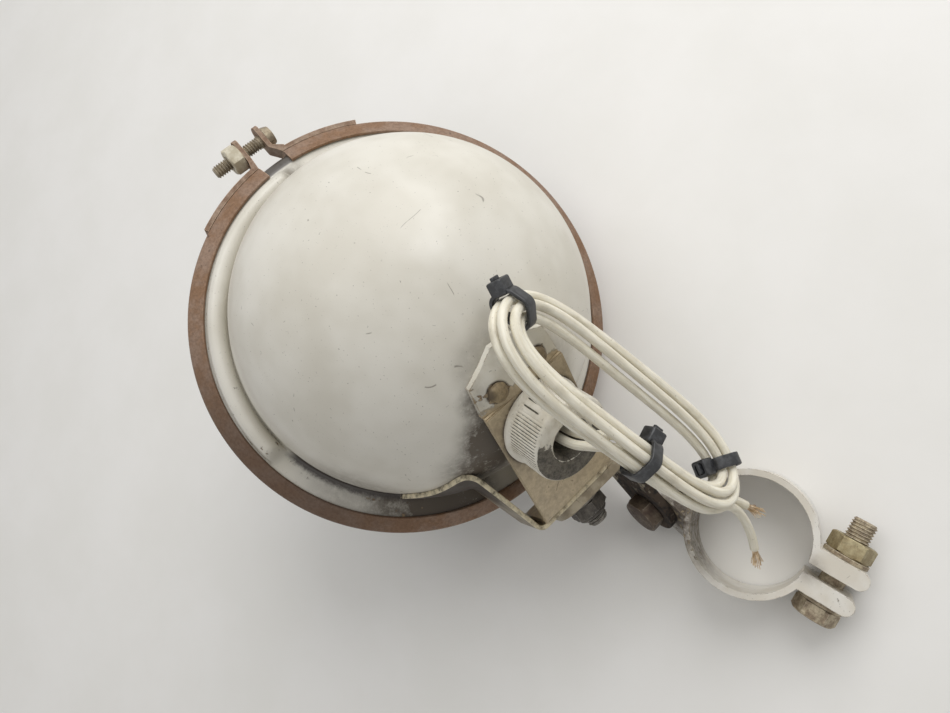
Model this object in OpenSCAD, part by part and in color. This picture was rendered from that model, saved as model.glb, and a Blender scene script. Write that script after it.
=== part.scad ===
// Aircraft landing light: a sealed-beam lamp in a domed steel housing, held by a V band,
// on a riveted bracket, a swivel link and a split clamp for a round strut. Millimetres.
// The origin is the middle of the clamp's bore. +Z runs along the bore, to the side that
// the wires lie on, and +X runs out through the clamp's split.

/* [Lamp and V band] */
// Outside diameter of the V band
band_od = 153; // [140:1:190]
// Width of the V band's outer wall
band_w = 9; // [8:0.5:12]
// Sheet thickness of the V band
band_t = 1.2; // [0.8:0.1:1.6]
// Gap between the V band's ends
band_gap = 11; // [8:0.5:16]
// Height of the bent ears of the V band
ear_h = 14; // [12:0.5:18]
// Thread diameter of the V band's screw
band_screw_d = 4.8; // [4:0.1:5.8]

/* [Housing] */
// Outside radius of the dome
dome_r = 62; // [52:0.5:64]
// Distance of the dome's centre behind the V band's back corner
dome_rise = 10; // [8:0.5:16]
// Wall of the spun housing
shell_t = 1.2; // [0.8:0.1:1.6]
// Height of the raised bead round the rim
bead_h = 5; // [3:0.5:6]
// Angle that each half of the bead covers
bead_sweep = 95; // [60:1:120]

/* [Bracket] */
// Tilt of the bracket's plate round the dome
plate_tilt = 37; // [30:1:45]
// Width of the bracket
plate_w = 30.6; // [28:0.2:38]
// Sheet thickness of the bracket
plate_t = 1.8; // [1.2:0.1:2.4]
// Distance of the flange's outer face from the lamp's axis
flange_x = 82; // [80:0.5:100]
// Sheet thickness of the brace
brace_t = 1.6; // [1.2:0.1:2.2]
// Head diameter of the bracket's rivets
rivet_d = 6.4; // [5:0.1:7.5]

/* [Rubber boot] */
// Outside diameter of the boot
boot_d = 27.2; // [22:0.2:29]
// Height of the boot above the plate
boot_h = 13.9; // [11:0.1:17]
// Diameter of the boot's bore
boot_bore = 12; // [9:0.5:14]

/* [Link and bolts] */
// Thread diameter of the bolts
bolt_d = 7.9; // [6.6:0.1:9.5]
// Thickness of the swivel link
link_t = 3.2; // [2.6:0.1:4]
// Width of the swivel link and of the clamp's lug
link_w = 20; // [17:0.5:22]
// Distance of the pivot bolt's axis beyond the flange
pivot_out = 26; // [25:0.5:32]
// Distance of the lug's middle from the flange bolt's axis
pivot_side = 22; // [20:0.5:28]
// Angle between the link and the clamp's lug as the light was set
fold = 30; // [20:1:40]

/* [Tube clamp] */
// Diameter of the strut that the clamp takes
tube_d = 38.1; // [31.7:0.1:46]
// Wall of the clamp's ring
ring_t = 2.2; // [1.8:0.1:3.2]
// Width of the clamp along the strut
clamp_w = 20; // [16:0.5:24]
// Thickness of each ear of the clamp
clamp_ear_t = 6; // [5:0.1:7.5]
// Length of the ears beyond their bolt's axis
clamp_ear_l = 8.8; // [8:0.2:16]
// Gap between the ears
clamp_split = 3.2; // [2:0.1:5]
// Thickness of the clamp's lug
lug_t = 3.6; // [3:0.1:4.5]
// Turn of the lug about its own length
lug_twist = 26; // [15:1:30]

/* [Wires] */
// Diameter of each wire
wire_d = 2.8; // [2.3:0.1:3.1]
// Distance between neighbouring strands in the bundle
strand_pitch = 3.4; // [3.4:0.05:3.7]
// Half length of the tied loop
loop_a = 44; // [42:0.5:46]
// Half width of the tied loop
loop_b = 12.8; // [12:0.2:14]

/* [Hidden] */
$fn = 96;

// clearances
seat = 0.05;
hole_gap = 0.1;
running_gap = 0.06;

// V band and lamp
band_r = band_od / 2;
leg_run = 5.5;
leg_rise = 3.8;
leg_angle = atan(leg_rise / leg_run);
leg_root_z = -band_t * (cos(leg_angle) - (1 - sin(leg_angle)) * tan(leg_angle));
flange_r = band_r - 2.3;
rim_z = 2.2;
lamp_r = band_r - 3.2;
lamp_top = -1.3;
weld_z = -4.8;
glass_t = 3;
lens_t = 4;
lens_bulge = 5.7;
reflector_f = 19.5;
reflector_z = 41;
terminal_y = 14;
boss_r = 6.5;
boss_z = 46;
cap_r = 5;
cap_h = 3;
lead_lug_t = 0.8;
lead_lug_r = 4.4;
terminal_screw_d = 4;
post_d = 1.6;
filament_d = 2.4;
filament_half = 6;
gasket_in = 64.5;
gasket_w = 5.5;

// housing rim
valley_r = dome_r + 2;
bead_in = dome_r + 1.2;
bead_out = band_r - leg_run - 1.2;
bead_start = 0;

// V band lugs, in a frame with +X out through the gap
lug_sheet = 1.6;
lug_sweep = 22;
lug_z0 = -band_w + 0.5;
lug_z1 = -0.5;
ear_hole = 8.5;
ear_bend = 4;
ear_step = 0.4;
ear_lean = 3;
band_nut_af = 9.5;
band_nut_h = 5;
band_head_r = 4.1;
band_head_h = 3.2;

// bracket
plate_top = 17.7;
plate_neck = 11;
plate_narrow = 3;
plate_lap = 0.3;
bend_r = 3;
flange_low = 6;
rivet_s = -5;
rivet_u = 7.6;
rivet_h = 1.7;
rivet_shank = 3.2;
boot_s = 15;
boot_lip = 0.8;
boot_lip_h = 1.2;
boot_neck_r = 9;
boot_neck = 6;
flange_bolt_y = 2;
flange_bolt_z = 15.5;

// brace
brace_low = 6.5;
brace_high = 26;
brace_end = 15;
brace_bend_r = 2;
brace_bend_y = -plate_w / 2 - seat;
brace_turn = 77;
brace_reach = 45;
foot_span = 65.3;
foot_x = foot_span - plate_w / 2;
foot_to = -44;
foot_top = 38.5;
foot_low = 5.6;
foot_round = 9;
foot_half = 11;

// bolts
bolt_r = bolt_d / 2;
bolt_af = bolt_d * 1.6;
head_h = 5.2;
nut_h = 5.6;
lock_nut_h = 6.6;
washer_t = 1.4;
washer_r = bolt_d * 0.9 + 0.1;
link_end = 12;
link_bend = 2;
lug_reach = tube_d / 2 + ring_t + 9.25;
lug_offset = 12.5;
lug_turn = -10.5;
ring_r = tube_d / 2;
ring_out = ring_r + ring_t;
clamp_face = clamp_split / 2 + clamp_ear_t;
clamp_clear = 0.7;
clamp_bolt_past = 7;
clamp_bolt_x = sqrt(pow(ring_out, 2) - pow(clamp_face, 2)) + washer_r + clamp_clear;
clamp_end = clamp_bolt_x + clamp_ear_l;

// positions along the flange bolt, from the lamp's axis outwards
tab_x = flange_x + seat / 2;
link_x = tab_x + brace_t + seat;
link_back = link_x - flange_x - pivot_out;
lug_face = lug_t / 2 + seat;

// route of the wires
loop_centre = [60, 15.2, 71.4];
loop_turn = [-30.6, 13.7, 17.6];
loop_flat = 0.5;
coil_from = -84;
coil_steps = 52;
steps_per_turn = 24;
coil_twist = -120;
first_slot = 240;
slot_step = -60;
slack = 0.3;
tie_at = [168, -79, 17];
tie_w = 3.8;
tie_t = 1.1;
tie_fit = 0.65;
tie_head = [5.2, 5, 4.2];
coil_sides = 6;
wire_sides = 8;

// Points of each wire in the lamp's frame, chosen by hand
inner_a = [[5.6, -16.2, 51.3], [10.6, -16.2, 51.3], [15.4, -15.2, 50.9], [20.4, -12.9, 49.4],
    [25.4, -9.8, 47], [30.6, -6.6, 44.4], [35.8, -4, 42.5], [40.6, -2.6, 42], [44, -2, 43.9],
    [46.8, -1.8, 47.2]];
inner_b = [[5.6, 16.2, 51.3], [10.6, 16.2, 51.3], [15.4, 15.2, 50.9], [20.4, 12.9, 49.4],
    [25.4, 9.8, 47], [30.6, 6.6, 44.4], [35.8, 4, 42.5], [40.6, 2.6, 42], [44, 2, 43.9],
    [46.8, 1.8, 47.2]];
lead_a = [[50, -1.8, 51.4], [52.8, -1.8, 55.1], [55.4, -1.8, 58.6], [57.6, -1.6, 61.8],
    [59.9, -0.8, 65.2], [62.3, 1.3, 69.5], [65, 3.9, 72.4]];
lead_b = [[50, 1.8, 51.4], [52.8, 1.8, 55.1], [55.4, 1.8, 58.6], [57.5, 2.1, 62],
    [59.5, 3.1, 65.8], [61.5, 5.1, 70.8], [64, 7.8, 74.3]];
tail_a = [[105.2, 22.9, 62.8], [108.6, 25.4, 60.4], [112.6, 26.8, 58], [116.6, 27.4, 55.9],
    [120.4, 27.4, 54], [124.2, 26.8, 52.4], [127.6, 25.8, 51]];
tail_b = [[102.9, 22.8, 60.4], [105.8, 26.2, 58.2], [109.4, 29, 57], [113.4, 31, 55.8]];
bare_l = 7;
bare_d = 1.7;

// Frames
module in_lug() {
    rotate([0, 0, lug_turn]) translate([-lug_reach, -lug_offset, 0]) rotate([-lug_twist, 0, 0])
        children();
}
module in_link() {
    in_lug() rotate([0, fold, 0]) children();
}
module in_head() {
    in_link()
        translate([-flange_x - pivot_out, -flange_bolt_y - pivot_side, -flange_bolt_z]) children();
}
module at_flange_bolt() {
    translate([0, flange_bolt_y, flange_bolt_z]) rotate([0, 90, 0]) children();
}
module on_dome(s, u) {
    translate([0, 0, dome_rise]) rotate([0, plate_tilt + s / dome_r * 57.3, 0])
        rotate([-u / dome_r * 57.3, 0, 0]) translate([0, 0, dome_r + seat]) children();
}
module on_plate(s) {
    translate([0, 0, dome_rise]) rotate([0, plate_tilt, 0]) translate([s, 0, dome_r + seat]) children();
}
module in_gap() {
    rotate([0, 0, 180]) children();
}

// Shared shapes
module ring(r_in, r_out, z0, z1) {
    translate([0, 0, z0]) difference() {
        cylinder(r = r_out, h = z1 - z0);
        translate([0, 0, -1]) cylinder(r = r_in, h = z1 - z0 + 2);
    }
}
module hex_block(af, h) {
    intersection() {
        cylinder(r = af / sqrt(3), h = h, $fn = 6);
        cylinder(r1 = af / sqrt(3) - 0.9, r2 = af / sqrt(3) + 1.6, h = h * 0.9);
    }
    translate([0, 0, h * 0.5]) intersection() {
        cylinder(r = af / sqrt(3), h = h * 0.5, $fn = 6);
        cylinder(r1 = af / sqrt(3) + 1, r2 = af / sqrt(3) - 0.9, h = h * 0.5);
    }
}
module hex_nut(af, h, bore_r) {
    difference() {
        hex_block(af, h);
        translate([0, 0, -1]) cylinder(r = bore_r, h = h + 2);
    }
}
module hex_bolt(af, d, head, length) {
    mirror([0, 0, 1]) hex_block(af, head);
    cylinder(r = d / 2, h = length - 0.8);
    translate([0, 0, length - 0.8]) cylinder(r1 = d / 2, r2 = d / 2 - 0.7, h = 0.8);
}

// Lamp and V band
function leg_z(r) = leg_root_z + (band_r - band_t - r) * tan(leg_angle);
function mirrored(z) = -band_w - z;
function parabola(r) = reflector_z - r * r / 4 / reflector_f;
function parabola_out(r) = let (k = r / 2 / reflector_f, n = sqrt(1 + k * k))
    [r + glass_t * k / n, parabola(r) + glass_t / n];

module v_band() {
    tip = [band_r - leg_run, leg_rise];
    in_tip = tip - band_t * [sin(leg_angle), cos(leg_angle)];
    in_root = [band_r - band_t, leg_root_z];
    profile = [[band_r, -band_w], [band_r, 0], tip, in_tip, in_root, [in_root.x, mirrored(in_root.y)],
        [in_tip.x, mirrored(in_tip.y)], [tip.x, mirrored(tip.y)]];
    half_gap = asin(band_gap / 2 / band_r);
    color("#6b4a3c") in_head() rotate([0, 0, 180 + half_gap])
        rotate_extrude(angle = 360 - 2 * half_gap) polygon(profile);
}

module lug_strip(from) {
    rotate([0, 0, from]) rotate_extrude(angle = lug_sweep) translate([band_r + seat, lug_z0])
        square([lug_sheet, lug_z1 - lug_z0]);
}

// One bent ear, drawn on the +Y side of the gap
module band_ear(shift) {
    y0 = band_gap / 2;
    x0 = band_r + seat;
    outline = [[x0, y0], [x0 + ear_bend, y0 - shift], [x0 + ear_h, y0 - shift],
        [x0 + ear_h, y0 - shift + lug_sheet], [x0 + ear_bend, y0 - shift + lug_sheet],
        [x0 + lug_sheet, y0 + lug_sheet * 1.2], [x0, y0 + lug_sheet * 1.2]];
    difference() {
        intersection() {
            translate([0, 0, lug_z0]) linear_extrude(lug_z1 - lug_z0) polygon(outline);
            union() {
                translate([x0 + ear_h - 5, 0, (lug_z0 + lug_z1) / 2]) rotate([-90, 0, 0])
                    cylinder(r = 5, h = 20);
                translate([x0 - 1, 0, lug_z0]) cube([ear_h - 4, 20, lug_z1 - lug_z0]);
            }
        }
        translate([band_r + ear_hole, -1, -band_w / 2]) rotate([-90, 0, 0])
            cylinder(r = band_screw_d / 2 + hole_gap, h = 20);
    }
}

module band_lug_nut_side() {
    color("#7a5646") in_head() in_gap() {
        lug_strip(asin(band_gap / 2 / band_r));
        band_ear(ear_step);
    }
}

module band_lug_head_side() {
    color("#7a5646") in_head() in_gap() mirror([0, 1, 0]) {
        lug_strip(asin(band_gap / 2 / band_r));
        band_ear(ear_lean);
    }
}

module on_band_screw() {
    in_head() in_gap() translate([band_r + ear_hole, 0, -band_w / 2]) rotate([-90, 0, 0]) children();
}

module band_screw() {
    under_head = -(band_gap / 2 - ear_lean + lug_sheet + seat);
    color("#6f6a62") on_band_screw() {
        translate([0, 0, under_head]) cylinder(r = band_screw_d / 2, h = 18 - under_head);
        translate([0, 0, under_head - band_head_h]) cylinder(r1 = band_head_r - 0.8, r2 = band_head_r,
            h = band_head_h);
    }
}

module band_nut() {
    color("#b9b3a0") on_band_screw()
        translate([0, 0, band_gap / 2 - ear_step + lug_sheet + seat])
            hex_nut(band_nut_af, band_nut_h, band_screw_d / 2 + seat);
}

module housing() {
    rim = [[flange_r, 0 - shell_t], [flange_r, 0], [flange_r - 3.2, rim_z], [valley_r, rim_z],
        [dome_r + 0.5, rim_z + 0.7], [dome_r - 0.1, rim_z + 2.6], [dome_r - 0.2, dome_rise - 4],
        [dome_r - 0.2 - shell_t, dome_rise - 4], [dome_r - 0.2 - shell_t, rim_z - shell_t],
        [flange_r - 3.4, rim_z - shell_t]];
    bead_mid = (bead_in + bead_out) / 2;
    bead_half = (bead_out - bead_in) / 2;
    bead_arc = [for (a = [0 : 15 : 180]) [bead_mid + bead_half * cos(a), rim_z - 0.4 + bead_h * sin(a)]];
    end_arc = [for (a = [0 : 15 : 90]) [bead_half * cos(a), rim_z - 0.4 + bead_h * sin(a)]];
    color("#dedbd2") in_head() difference() {
        union() {
            translate([0, 0, dome_rise]) difference() {
                sphere(r = dome_r);
                sphere(r = dome_r - shell_t);
                translate([-dome_r - 1, -dome_r - 1, -2 * dome_r - 6.5]) cube(2 * dome_r + 2);
            }
            rotate_extrude() polygon(rim);
            for (turn = [bead_start, bead_start + 180]) rotate([0, 0, turn]) {
                rotate_extrude(angle = bead_sweep) polygon(bead_arc);
                for (tip = [0, bead_sweep]) rotate([0, 0, tip]) translate([bead_mid, 0, 0])
                    rotate_extrude() polygon(concat([[0, rim_z - 0.4]], end_arc));
            }
        }
        on_plate(boot_s) translate([0, 0, -12]) cylinder(r = boot_neck_r + hole_gap, h = 20);
        for (side = [-1, 1]) on_dome(rivet_s, side * rivet_u) translate([0, 0, -8])
            cylinder(r = rivet_shank / 2 + seat, h = 12);
    }
}

module rim_gasket() {
    color("#2b2b2b") in_head()
        ring(gasket_in, gasket_in + gasket_w, lamp_top + seat, rim_z - shell_t - seat);
}

module lamp_reflector() {
    throat = sqrt(4 * reflector_f * (reflector_z - weld_z));
    inner = [for (i = [0 : 16]) let (r = throat * i / 16) [r, parabola(r)]];
    outer = [for (i = [14 : -1 : 0]) parabola_out(throat * i / 16)];
    rim = [[lamp_r, weld_z], [lamp_r, lamp_top], [throat + 1.5, lamp_top]];
    color("#c9cdd0") in_head() difference() {
        union() {
            rotate_extrude() polygon(concat(inner, rim, outer));
            for (side = [-1, 1]) translate([0, side * terminal_y, parabola(terminal_y) + 1])
                cylinder(r = boss_r, h = boss_z - parabola(terminal_y) - 1);
        }
        for (side = [-1, 1]) translate([0, side * terminal_y, 20])
            cylinder(r = post_d / 2 + seat, h = 40);
    }
}

module lamp_lens() {
    z0 = mirrored(leg_z(lamp_r)) + seat * 2;
    edge_r = lamp_r - 2.5;
    z1 = mirrored(leg_z(edge_r)) + seat * 2;
    back_r = 62;
    front = [for (i = [1 : 12]) let (r = (edge_r - 0.6) * (1 - i / 12))
        [r, z1 - lens_bulge * (1 - pow(r / (edge_r - 0.6), 2))]];
    back = [for (i = [0 : 12]) let (r = back_r * i / 12)
        [r, z1 + lens_t - lens_bulge * (1 - pow(r / back_r, 2))]];
    color("#d8e4ea", 0.4) in_head() rotate_extrude()
        polygon(concat([[lamp_r, weld_z - seat], [lamp_r, z0], [edge_r, z1], [edge_r - 0.6, z1]],
            front, back, [[back_r, weld_z - seat]]));
}

module lamp_terminals() {
    color("#b8b4a8") in_head() for (side = [-1, 1]) translate([0, side * terminal_y, boss_z + seat])
        difference() {
            cylinder(r = cap_r, h = cap_h);
            translate([0, 0, 0.6]) cylinder(r = terminal_screw_d / 2 + seat, h = cap_h);
        }
}

module terminal_screws() {
    under_head = boss_z + seat + cap_h + lead_lug_t + 2 * seat;
    color("#8d8a80") in_head() for (side = [-1, 1]) translate([0, side * terminal_y, under_head])
        difference() {
            union() {
                translate([0, 0, -lead_lug_t - cap_h + 0.8])
                    cylinder(r = terminal_screw_d / 2, h = cap_h + lead_lug_t - 0.6);
                cylinder(r1 = 3.5, r2 = 3, h = 2);
            }
            translate([-4, -0.5, 1.1]) cube([8, 1, 1]);
        }
}

// Flat ring lugs on the inner ends of the leads, each with a crimp barrel that rises to the wire
module lead_lugs() {
    z0 = boss_z + cap_h + 2 * seat;
    for_wire = inner_b[0];
    barrel = wire_d / 2 + 0.8;
    color("#a9a79c") in_head() for (side = [-1, 1]) difference() {
        union() {
            translate([0, side * terminal_y, z0]) cylinder(r = lead_lug_r, h = lead_lug_t);
            translate([0, side * for_wire.y - barrel, z0])
                cube([for_wire.x + 3.6, 2 * barrel, lead_lug_t]);
            translate([for_wire.x - 0.8, side * for_wire.y, for_wire.z]) rotate([0, 90, 0])
                cylinder(r = barrel, h = 4.4);
        }
        translate([0, side * terminal_y, z0 - 1]) cylinder(r = terminal_screw_d / 2 + seat, h = 4);
        translate([for_wire.x - seat, side * for_wire.y, for_wire.z]) rotate([0, 90, 0])
            cylinder(r = wire_d / 2 + seat, h = 6);
    }
}

module filament_posts() {
    drop = 12;
    low = reflector_z - reflector_f;
    lean = atan((terminal_y - filament_half) / (boss_z - drop - low));
    reach = sqrt(pow(terminal_y - filament_half, 2) + pow(boss_z - drop - low, 2));
    color("#9aa0a3") in_head() for (side = [-1, 1]) {
        translate([0, side * terminal_y, boss_z - drop - 0.3])
            cylinder(r = post_d / 2, h = drop + 0.3, $fn = 12);
        translate([0, side * terminal_y, boss_z - drop]) rotate([180 - side * lean, 0, 0])
            cylinder(r = post_d / 2, h = reach, $fn = 12);
    }
}

module lamp_filament() {
    half = filament_half - post_d / 2 - seat * 4;
    color("#77736a") in_head() translate([0, -half, reflector_z - reflector_f])
        rotate([-90, 0, 0]) cylinder(r = filament_d / 2, h = 2 * half);
}

// Bracket, brace and boot
module bracket_profile() {
    foot = [(dome_r + seat) * sin(plate_tilt), dome_rise + (dome_r + seat) * cos(plate_tilt)];
    out = [sin(plate_tilt), cos(plate_tilt)];
    cx = flange_x - plate_t - bend_r;
    cz = foot.y - (bend_r + sin(plate_tilt) * (cx - foot.x)) / cos(plate_tilt);
    arc = [for (i = [0 : 8]) 90 - plate_tilt - (90 - plate_tilt) * i / 8];
    outer = [for (a = arc) [cx, cz] + (bend_r + plate_t) * [cos(a), sin(a)]];
    inner = [for (i = [8 : -1 : 0]) [cx, cz] + bend_r * [cos(arc[i]), sin(arc[i])]];
    lap = -plate_lap * [cos(plate_tilt), -sin(plate_tilt)];
    low = foot + plate_t / 4 * out;
    high = foot + plate_t * 3 / 4 * out;
    polygon(concat([foot, low, low + lap, high + lap, high, foot + plate_t * out], outer,
        [[flange_x, flange_low], [flange_x - plate_t, flange_low]], inner));
}

module mount_bracket() {
    half = plate_w / 2;
    color("#d6d2c6") in_head() difference() {
        union() {
            translate([0, half, 0]) rotate([90, 0, 0]) linear_extrude(plate_w) bracket_profile();
            intersection() {
                translate([0, 0, dome_rise]) difference() {
                    sphere(r = dome_r + seat + plate_t);
                    sphere(r = dome_r + seat);
                }
                on_plate(0) translate([0, 0, -20]) linear_extrude(30)
                    polygon([[0, -half], [0, half], [-plate_neck, half - 1], [-plate_top, plate_narrow],
                        [-plate_top, -plate_narrow], [-plate_neck, 1 - half]]);
            }
        }
        on_plate(boot_s) translate([0, 0, -12]) cylinder(r = boot_neck_r + hole_gap, h = 20);
        for (side = [-1, 1]) on_dome(rivet_s, side * rivet_u) translate([0, 0, -8])
            cylinder(r = rivet_shank / 2 + seat, h = 16);
        translate([flange_x - 10, 0, 0]) at_flange_bolt() cylinder(r = bolt_r + hole_gap, h = 20);
    }
}

module bracket_rivets() {
    head_arc = [for (a = [0 : 15 : 90]) [rivet_d / 2 * cos(a), plate_t + seat + rivet_h * sin(a)]];
    color("#9a9284") in_head() for (side = [-1, 1]) on_dome(rivet_s, side * rivet_u) {
        rotate_extrude() polygon(concat([[0, plate_t + seat]], head_arc));
        translate([0, 0, -shell_t - 2]) cylinder(r = rivet_shank / 2, h = plate_t + shell_t + 2.5);
        translate([0, 0, -shell_t - 2 * seat - 1.4]) cylinder(r = rivet_shank * 0.72, h = 1.3);
    }
}

function brace_centre() = [tab_x - brace_bend_r, brace_bend_y];
function brace_way() = [-sin(brace_turn), -cos(brace_turn)];
function brace_arc(r) = [for (i = [0 : 8]) let (a = -brace_turn * i / 8)
    brace_centre() + r * [cos(a), sin(a)]];

// The brace seen along the lamp's axis: a tab on the flange, a bend and a leg to the dome
module brace_profile() {
    outer = brace_arc(brace_bend_r + brace_t);
    inner = brace_arc(brace_bend_r);
    back = [for (i = [8 : -1 : 0]) inner[i]];
    polygon(concat([[tab_x, brace_end - 8], [tab_x + brace_t, brace_end - 8]], outer,
        [outer[8] + brace_reach * brace_way(), inner[8] + brace_reach * brace_way()], back));
}

module brace_strip() {
    x0 = tab_x + brace_t + 1;
    x1 = tab_x - brace_bend_r * 1.7;
    side_view = [[x0, brace_low], [x0, brace_high], [x1, brace_high], [foot_x, foot_top],
        [20, foot_top], [20, foot_low], [foot_x, foot_low]];
    color("#cfcabb") in_head() difference() {
        union() {
            intersection() {
                translate([0, 0, foot_low]) linear_extrude(foot_top) brace_profile();
                rotate([90, 0, 0]) linear_extrude(120, center = true) polygon(side_view);
            }
            translate([tab_x, brace_end - 9, brace_low]) cube([brace_t, 5, brace_high - brace_low]);
            translate([tab_x, brace_end - 5, brace_low + 4])
                cube([brace_t, 5, brace_high - brace_low - 8]);
            for (z = [brace_low + 4, brace_high - 4]) translate([tab_x, brace_end - 4, z])
                rotate([0, 90, 0]) cylinder(r = 4, h = brace_t);
            brace_foot();
        }
        translate([0, 0, dome_rise]) sphere(r = dome_r + seat);
        translate([tab_x - 2, 0, 0]) at_flange_bolt() cylinder(r = bolt_r + hole_gap, h = 10);
    }
}

// Foot of the brace: a strip of a shell that lies on the dome, with one round corner
module brace_foot() {
    start = brace_centre() + brace_bend_r * [cos(brace_turn), -sin(brace_turn)]
        + (brace_t / 2) * [cos(brace_turn), -sin(brace_turn)];
    far = 90 * [cos(foot_to), sin(foot_to)];
    intersection() {
        translate([0, 0, dome_rise]) sphere(r = dome_r + seat + brace_t);
        linear_extrude(2 * foot_top)
            polygon([start, start + brace_reach * brace_way(), far * 0.4, far]);
        rotate([0, 0, foot_to + 10]) rotate([90, 0, 90]) linear_extrude(100) {
            translate([-foot_half, foot_low])
                square([3 * foot_half, foot_top - foot_round - foot_low]);
            translate([foot_round - foot_half, foot_low])
                square([3 * foot_half, foot_top - foot_low]);
            translate([foot_round - foot_half, foot_top - foot_round]) circle(r = foot_round);
        }
    }
}

module rubber_boot() {
    r = boot_d / 2;
    outline = [[boot_bore / 2, -boot_neck], [boot_neck_r - 1, -boot_neck], [boot_neck_r, -boot_neck + 1],
        [boot_neck_r, plate_t + seat], [r + boot_lip, plate_t + seat],
        [r + boot_lip, plate_t + seat + boot_lip_h], [r, plate_t + seat + boot_lip_h + 0.4],
        [r, boot_h + plate_t - 1.2], [r - 1.2, boot_h + plate_t], [boot_bore / 2 + 1, boot_h + plate_t],
        [boot_bore / 2, boot_h + plate_t - 1.4]];
    color("#3a3833") in_head() on_plate(boot_s) rotate_extrude() polygon(outline);
}

// Flange bolt and its stack
module flange_bolt() {
    under_head = flange_x - plate_t - seat;
    end = link_x + link_t + washer_t + lock_nut_h + 3 - under_head;
    color("#6f6d68") in_head() translate([under_head, 0, 0]) at_flange_bolt()
        hex_bolt(bolt_af, bolt_d, head_h, end);
}

module flange_washer() {
    color("#8f8d86") in_head() translate([link_x + link_t + seat, 0, 0]) at_flange_bolt()
        ring(bolt_r + hole_gap, washer_r, 0, washer_t);
}

module flange_lock_nut() {
    color("#6b6e70") in_head() translate([link_x + link_t + washer_t + 2 * seat, 0, 0]) at_flange_bolt() {
        hex_nut(bolt_af, lock_nut_h - 1.8, bolt_r + seat);
        translate([0, 0, lock_nut_h - 1.8]) ring(bolt_r + seat, bolt_af / 2 - 0.6, -0.01, 1.8);
    }
}

// Link
module swivel_link() {
    half = link_w / 2;
    outer_y = -lug_face;
    inner_y = outer_y - link_t;
    inner_x = link_back + link_t;
    color("#4a4038") in_link() difference() {
        union() {
            translate([inner_x + link_bend, inner_y, -half]) cube([-inner_x - link_bend, link_t, link_w]);
            translate([0, inner_y, 0]) rotate([-90, 0, 0]) cylinder(r = half, h = link_t);
            translate([link_back, -pivot_side - link_end + 6, -half])
                cube([link_t, pivot_side + link_end - 6 + inner_y - link_bend, link_w]);
            translate([link_back, -pivot_side - link_end, 6 - half]) cube([link_t, 8, link_w - 12]);
            for (z = [6 - half, half - 6]) translate([link_back, -pivot_side - link_end + 6, z])
                rotate([0, 90, 0]) cylinder(r = 6, h = link_t);
            translate([inner_x + link_bend, inner_y - link_bend, -half]) rotate([0, 0, 90])
                rotate_extrude(angle = 90) translate([link_bend, 0]) square([link_t, link_w]);
        }
        translate([0, inner_y - 1, 0]) rotate([-90, 0, 0]) cylinder(r = bolt_r + hole_gap, h = link_t + 2);
        translate([link_back - 1, -pivot_side, 0]) rotate([0, 90, 0])
            cylinder(r = bolt_r + running_gap, h = link_t + 2);
    }
}

module pivot_bolt() {
    under_head = -lug_face - link_t - seat;
    end = lug_face + washer_t + nut_h + 2.5 - under_head;
    color("#7b5a3e") in_link() translate([0, under_head, 0]) rotate([-90, 0, 0])
        hex_bolt(bolt_af, bolt_d, head_h, end);
}

module pivot_washer() {
    color("#7a6a58") in_link() translate([0, lug_face, 0]) rotate([-90, 0, 0])
        ring(bolt_r + hole_gap, washer_r, 0, washer_t);
}

module pivot_nut() {
    color("#6e5a46") in_link() translate([0, lug_face + washer_t + seat, 0]) rotate([-90, 0, 0])
        hex_nut(bolt_af, nut_h, bolt_r + seat);
}

// Clamp
module ear_outline() {
    half = clamp_split / 2;
    tip = clamp_end - clamp_ear_t / 2;
    translate([ring_r, half]) square([tip - ring_r, clamp_ear_t]);
    translate([tip, half + clamp_ear_t / 2]) circle(r = clamp_ear_t / 2);
}

module tube_clamp() {
    half = clamp_w / 2;
    color("#dcd8cf") difference() {
        union() {
            ring(ring_r - 0.5, ring_out, -half, half);
            for (side = [0, 1]) mirror([0, side, 0]) translate([0, 0, -half])
                linear_extrude(clamp_w) ear_outline();
            intersection() {
                in_lug() {
                    rotate([-90, 0, 0]) translate([0, 0, -lug_t / 2]) cylinder(r = link_w / 2, h = lug_t);
                    translate([0, -lug_t / 2, -link_w / 2]) cube([lug_reach - 6, lug_t, link_w]);
                }
                translate([-100, -100, -half]) cube([200, 200, clamp_w]);
            }
        }
        translate([0, 0, -half - 1]) cylinder(r = ring_r, h = clamp_w + 2);
        translate([0, -clamp_split / 2, -half - 1]) cube([clamp_end + 5, clamp_split, clamp_w + 2]);
        translate([clamp_bolt_x, 0, 0]) rotate([-90, 0, 0])
            cylinder(r = bolt_r + hole_gap, h = 60, center = true);
        in_lug() rotate([-90, 0, 0]) cylinder(r = bolt_r + running_gap, h = 20, center = true);
    }
}

module on_clamp_bolt(y) {
    translate([clamp_bolt_x, y, 0]) rotate([-90, 0, 0]) children();
}

module clamp_bolt() {
    under_head = -clamp_face - washer_t - 2 * seat;
    end = clamp_face + washer_t + nut_h + clamp_bolt_past - under_head;
    color("#8f8672") on_clamp_bolt(under_head) hex_bolt(bolt_af, bolt_d, head_h, end);
}

module clamp_washers() {
    face = clamp_face + seat;
    color("#9c937e") {
        on_clamp_bolt(face) ring(bolt_r + hole_gap, washer_r, 0, washer_t);
        on_clamp_bolt(-face - washer_t) ring(bolt_r + hole_gap, washer_r, 0, washer_t);
    }
}

module clamp_nut() {
    color("#b39c5e") on_clamp_bolt(clamp_face + washer_t + 2 * seat)
        hex_nut(bolt_af, nut_h, bolt_r + seat);
}

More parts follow.
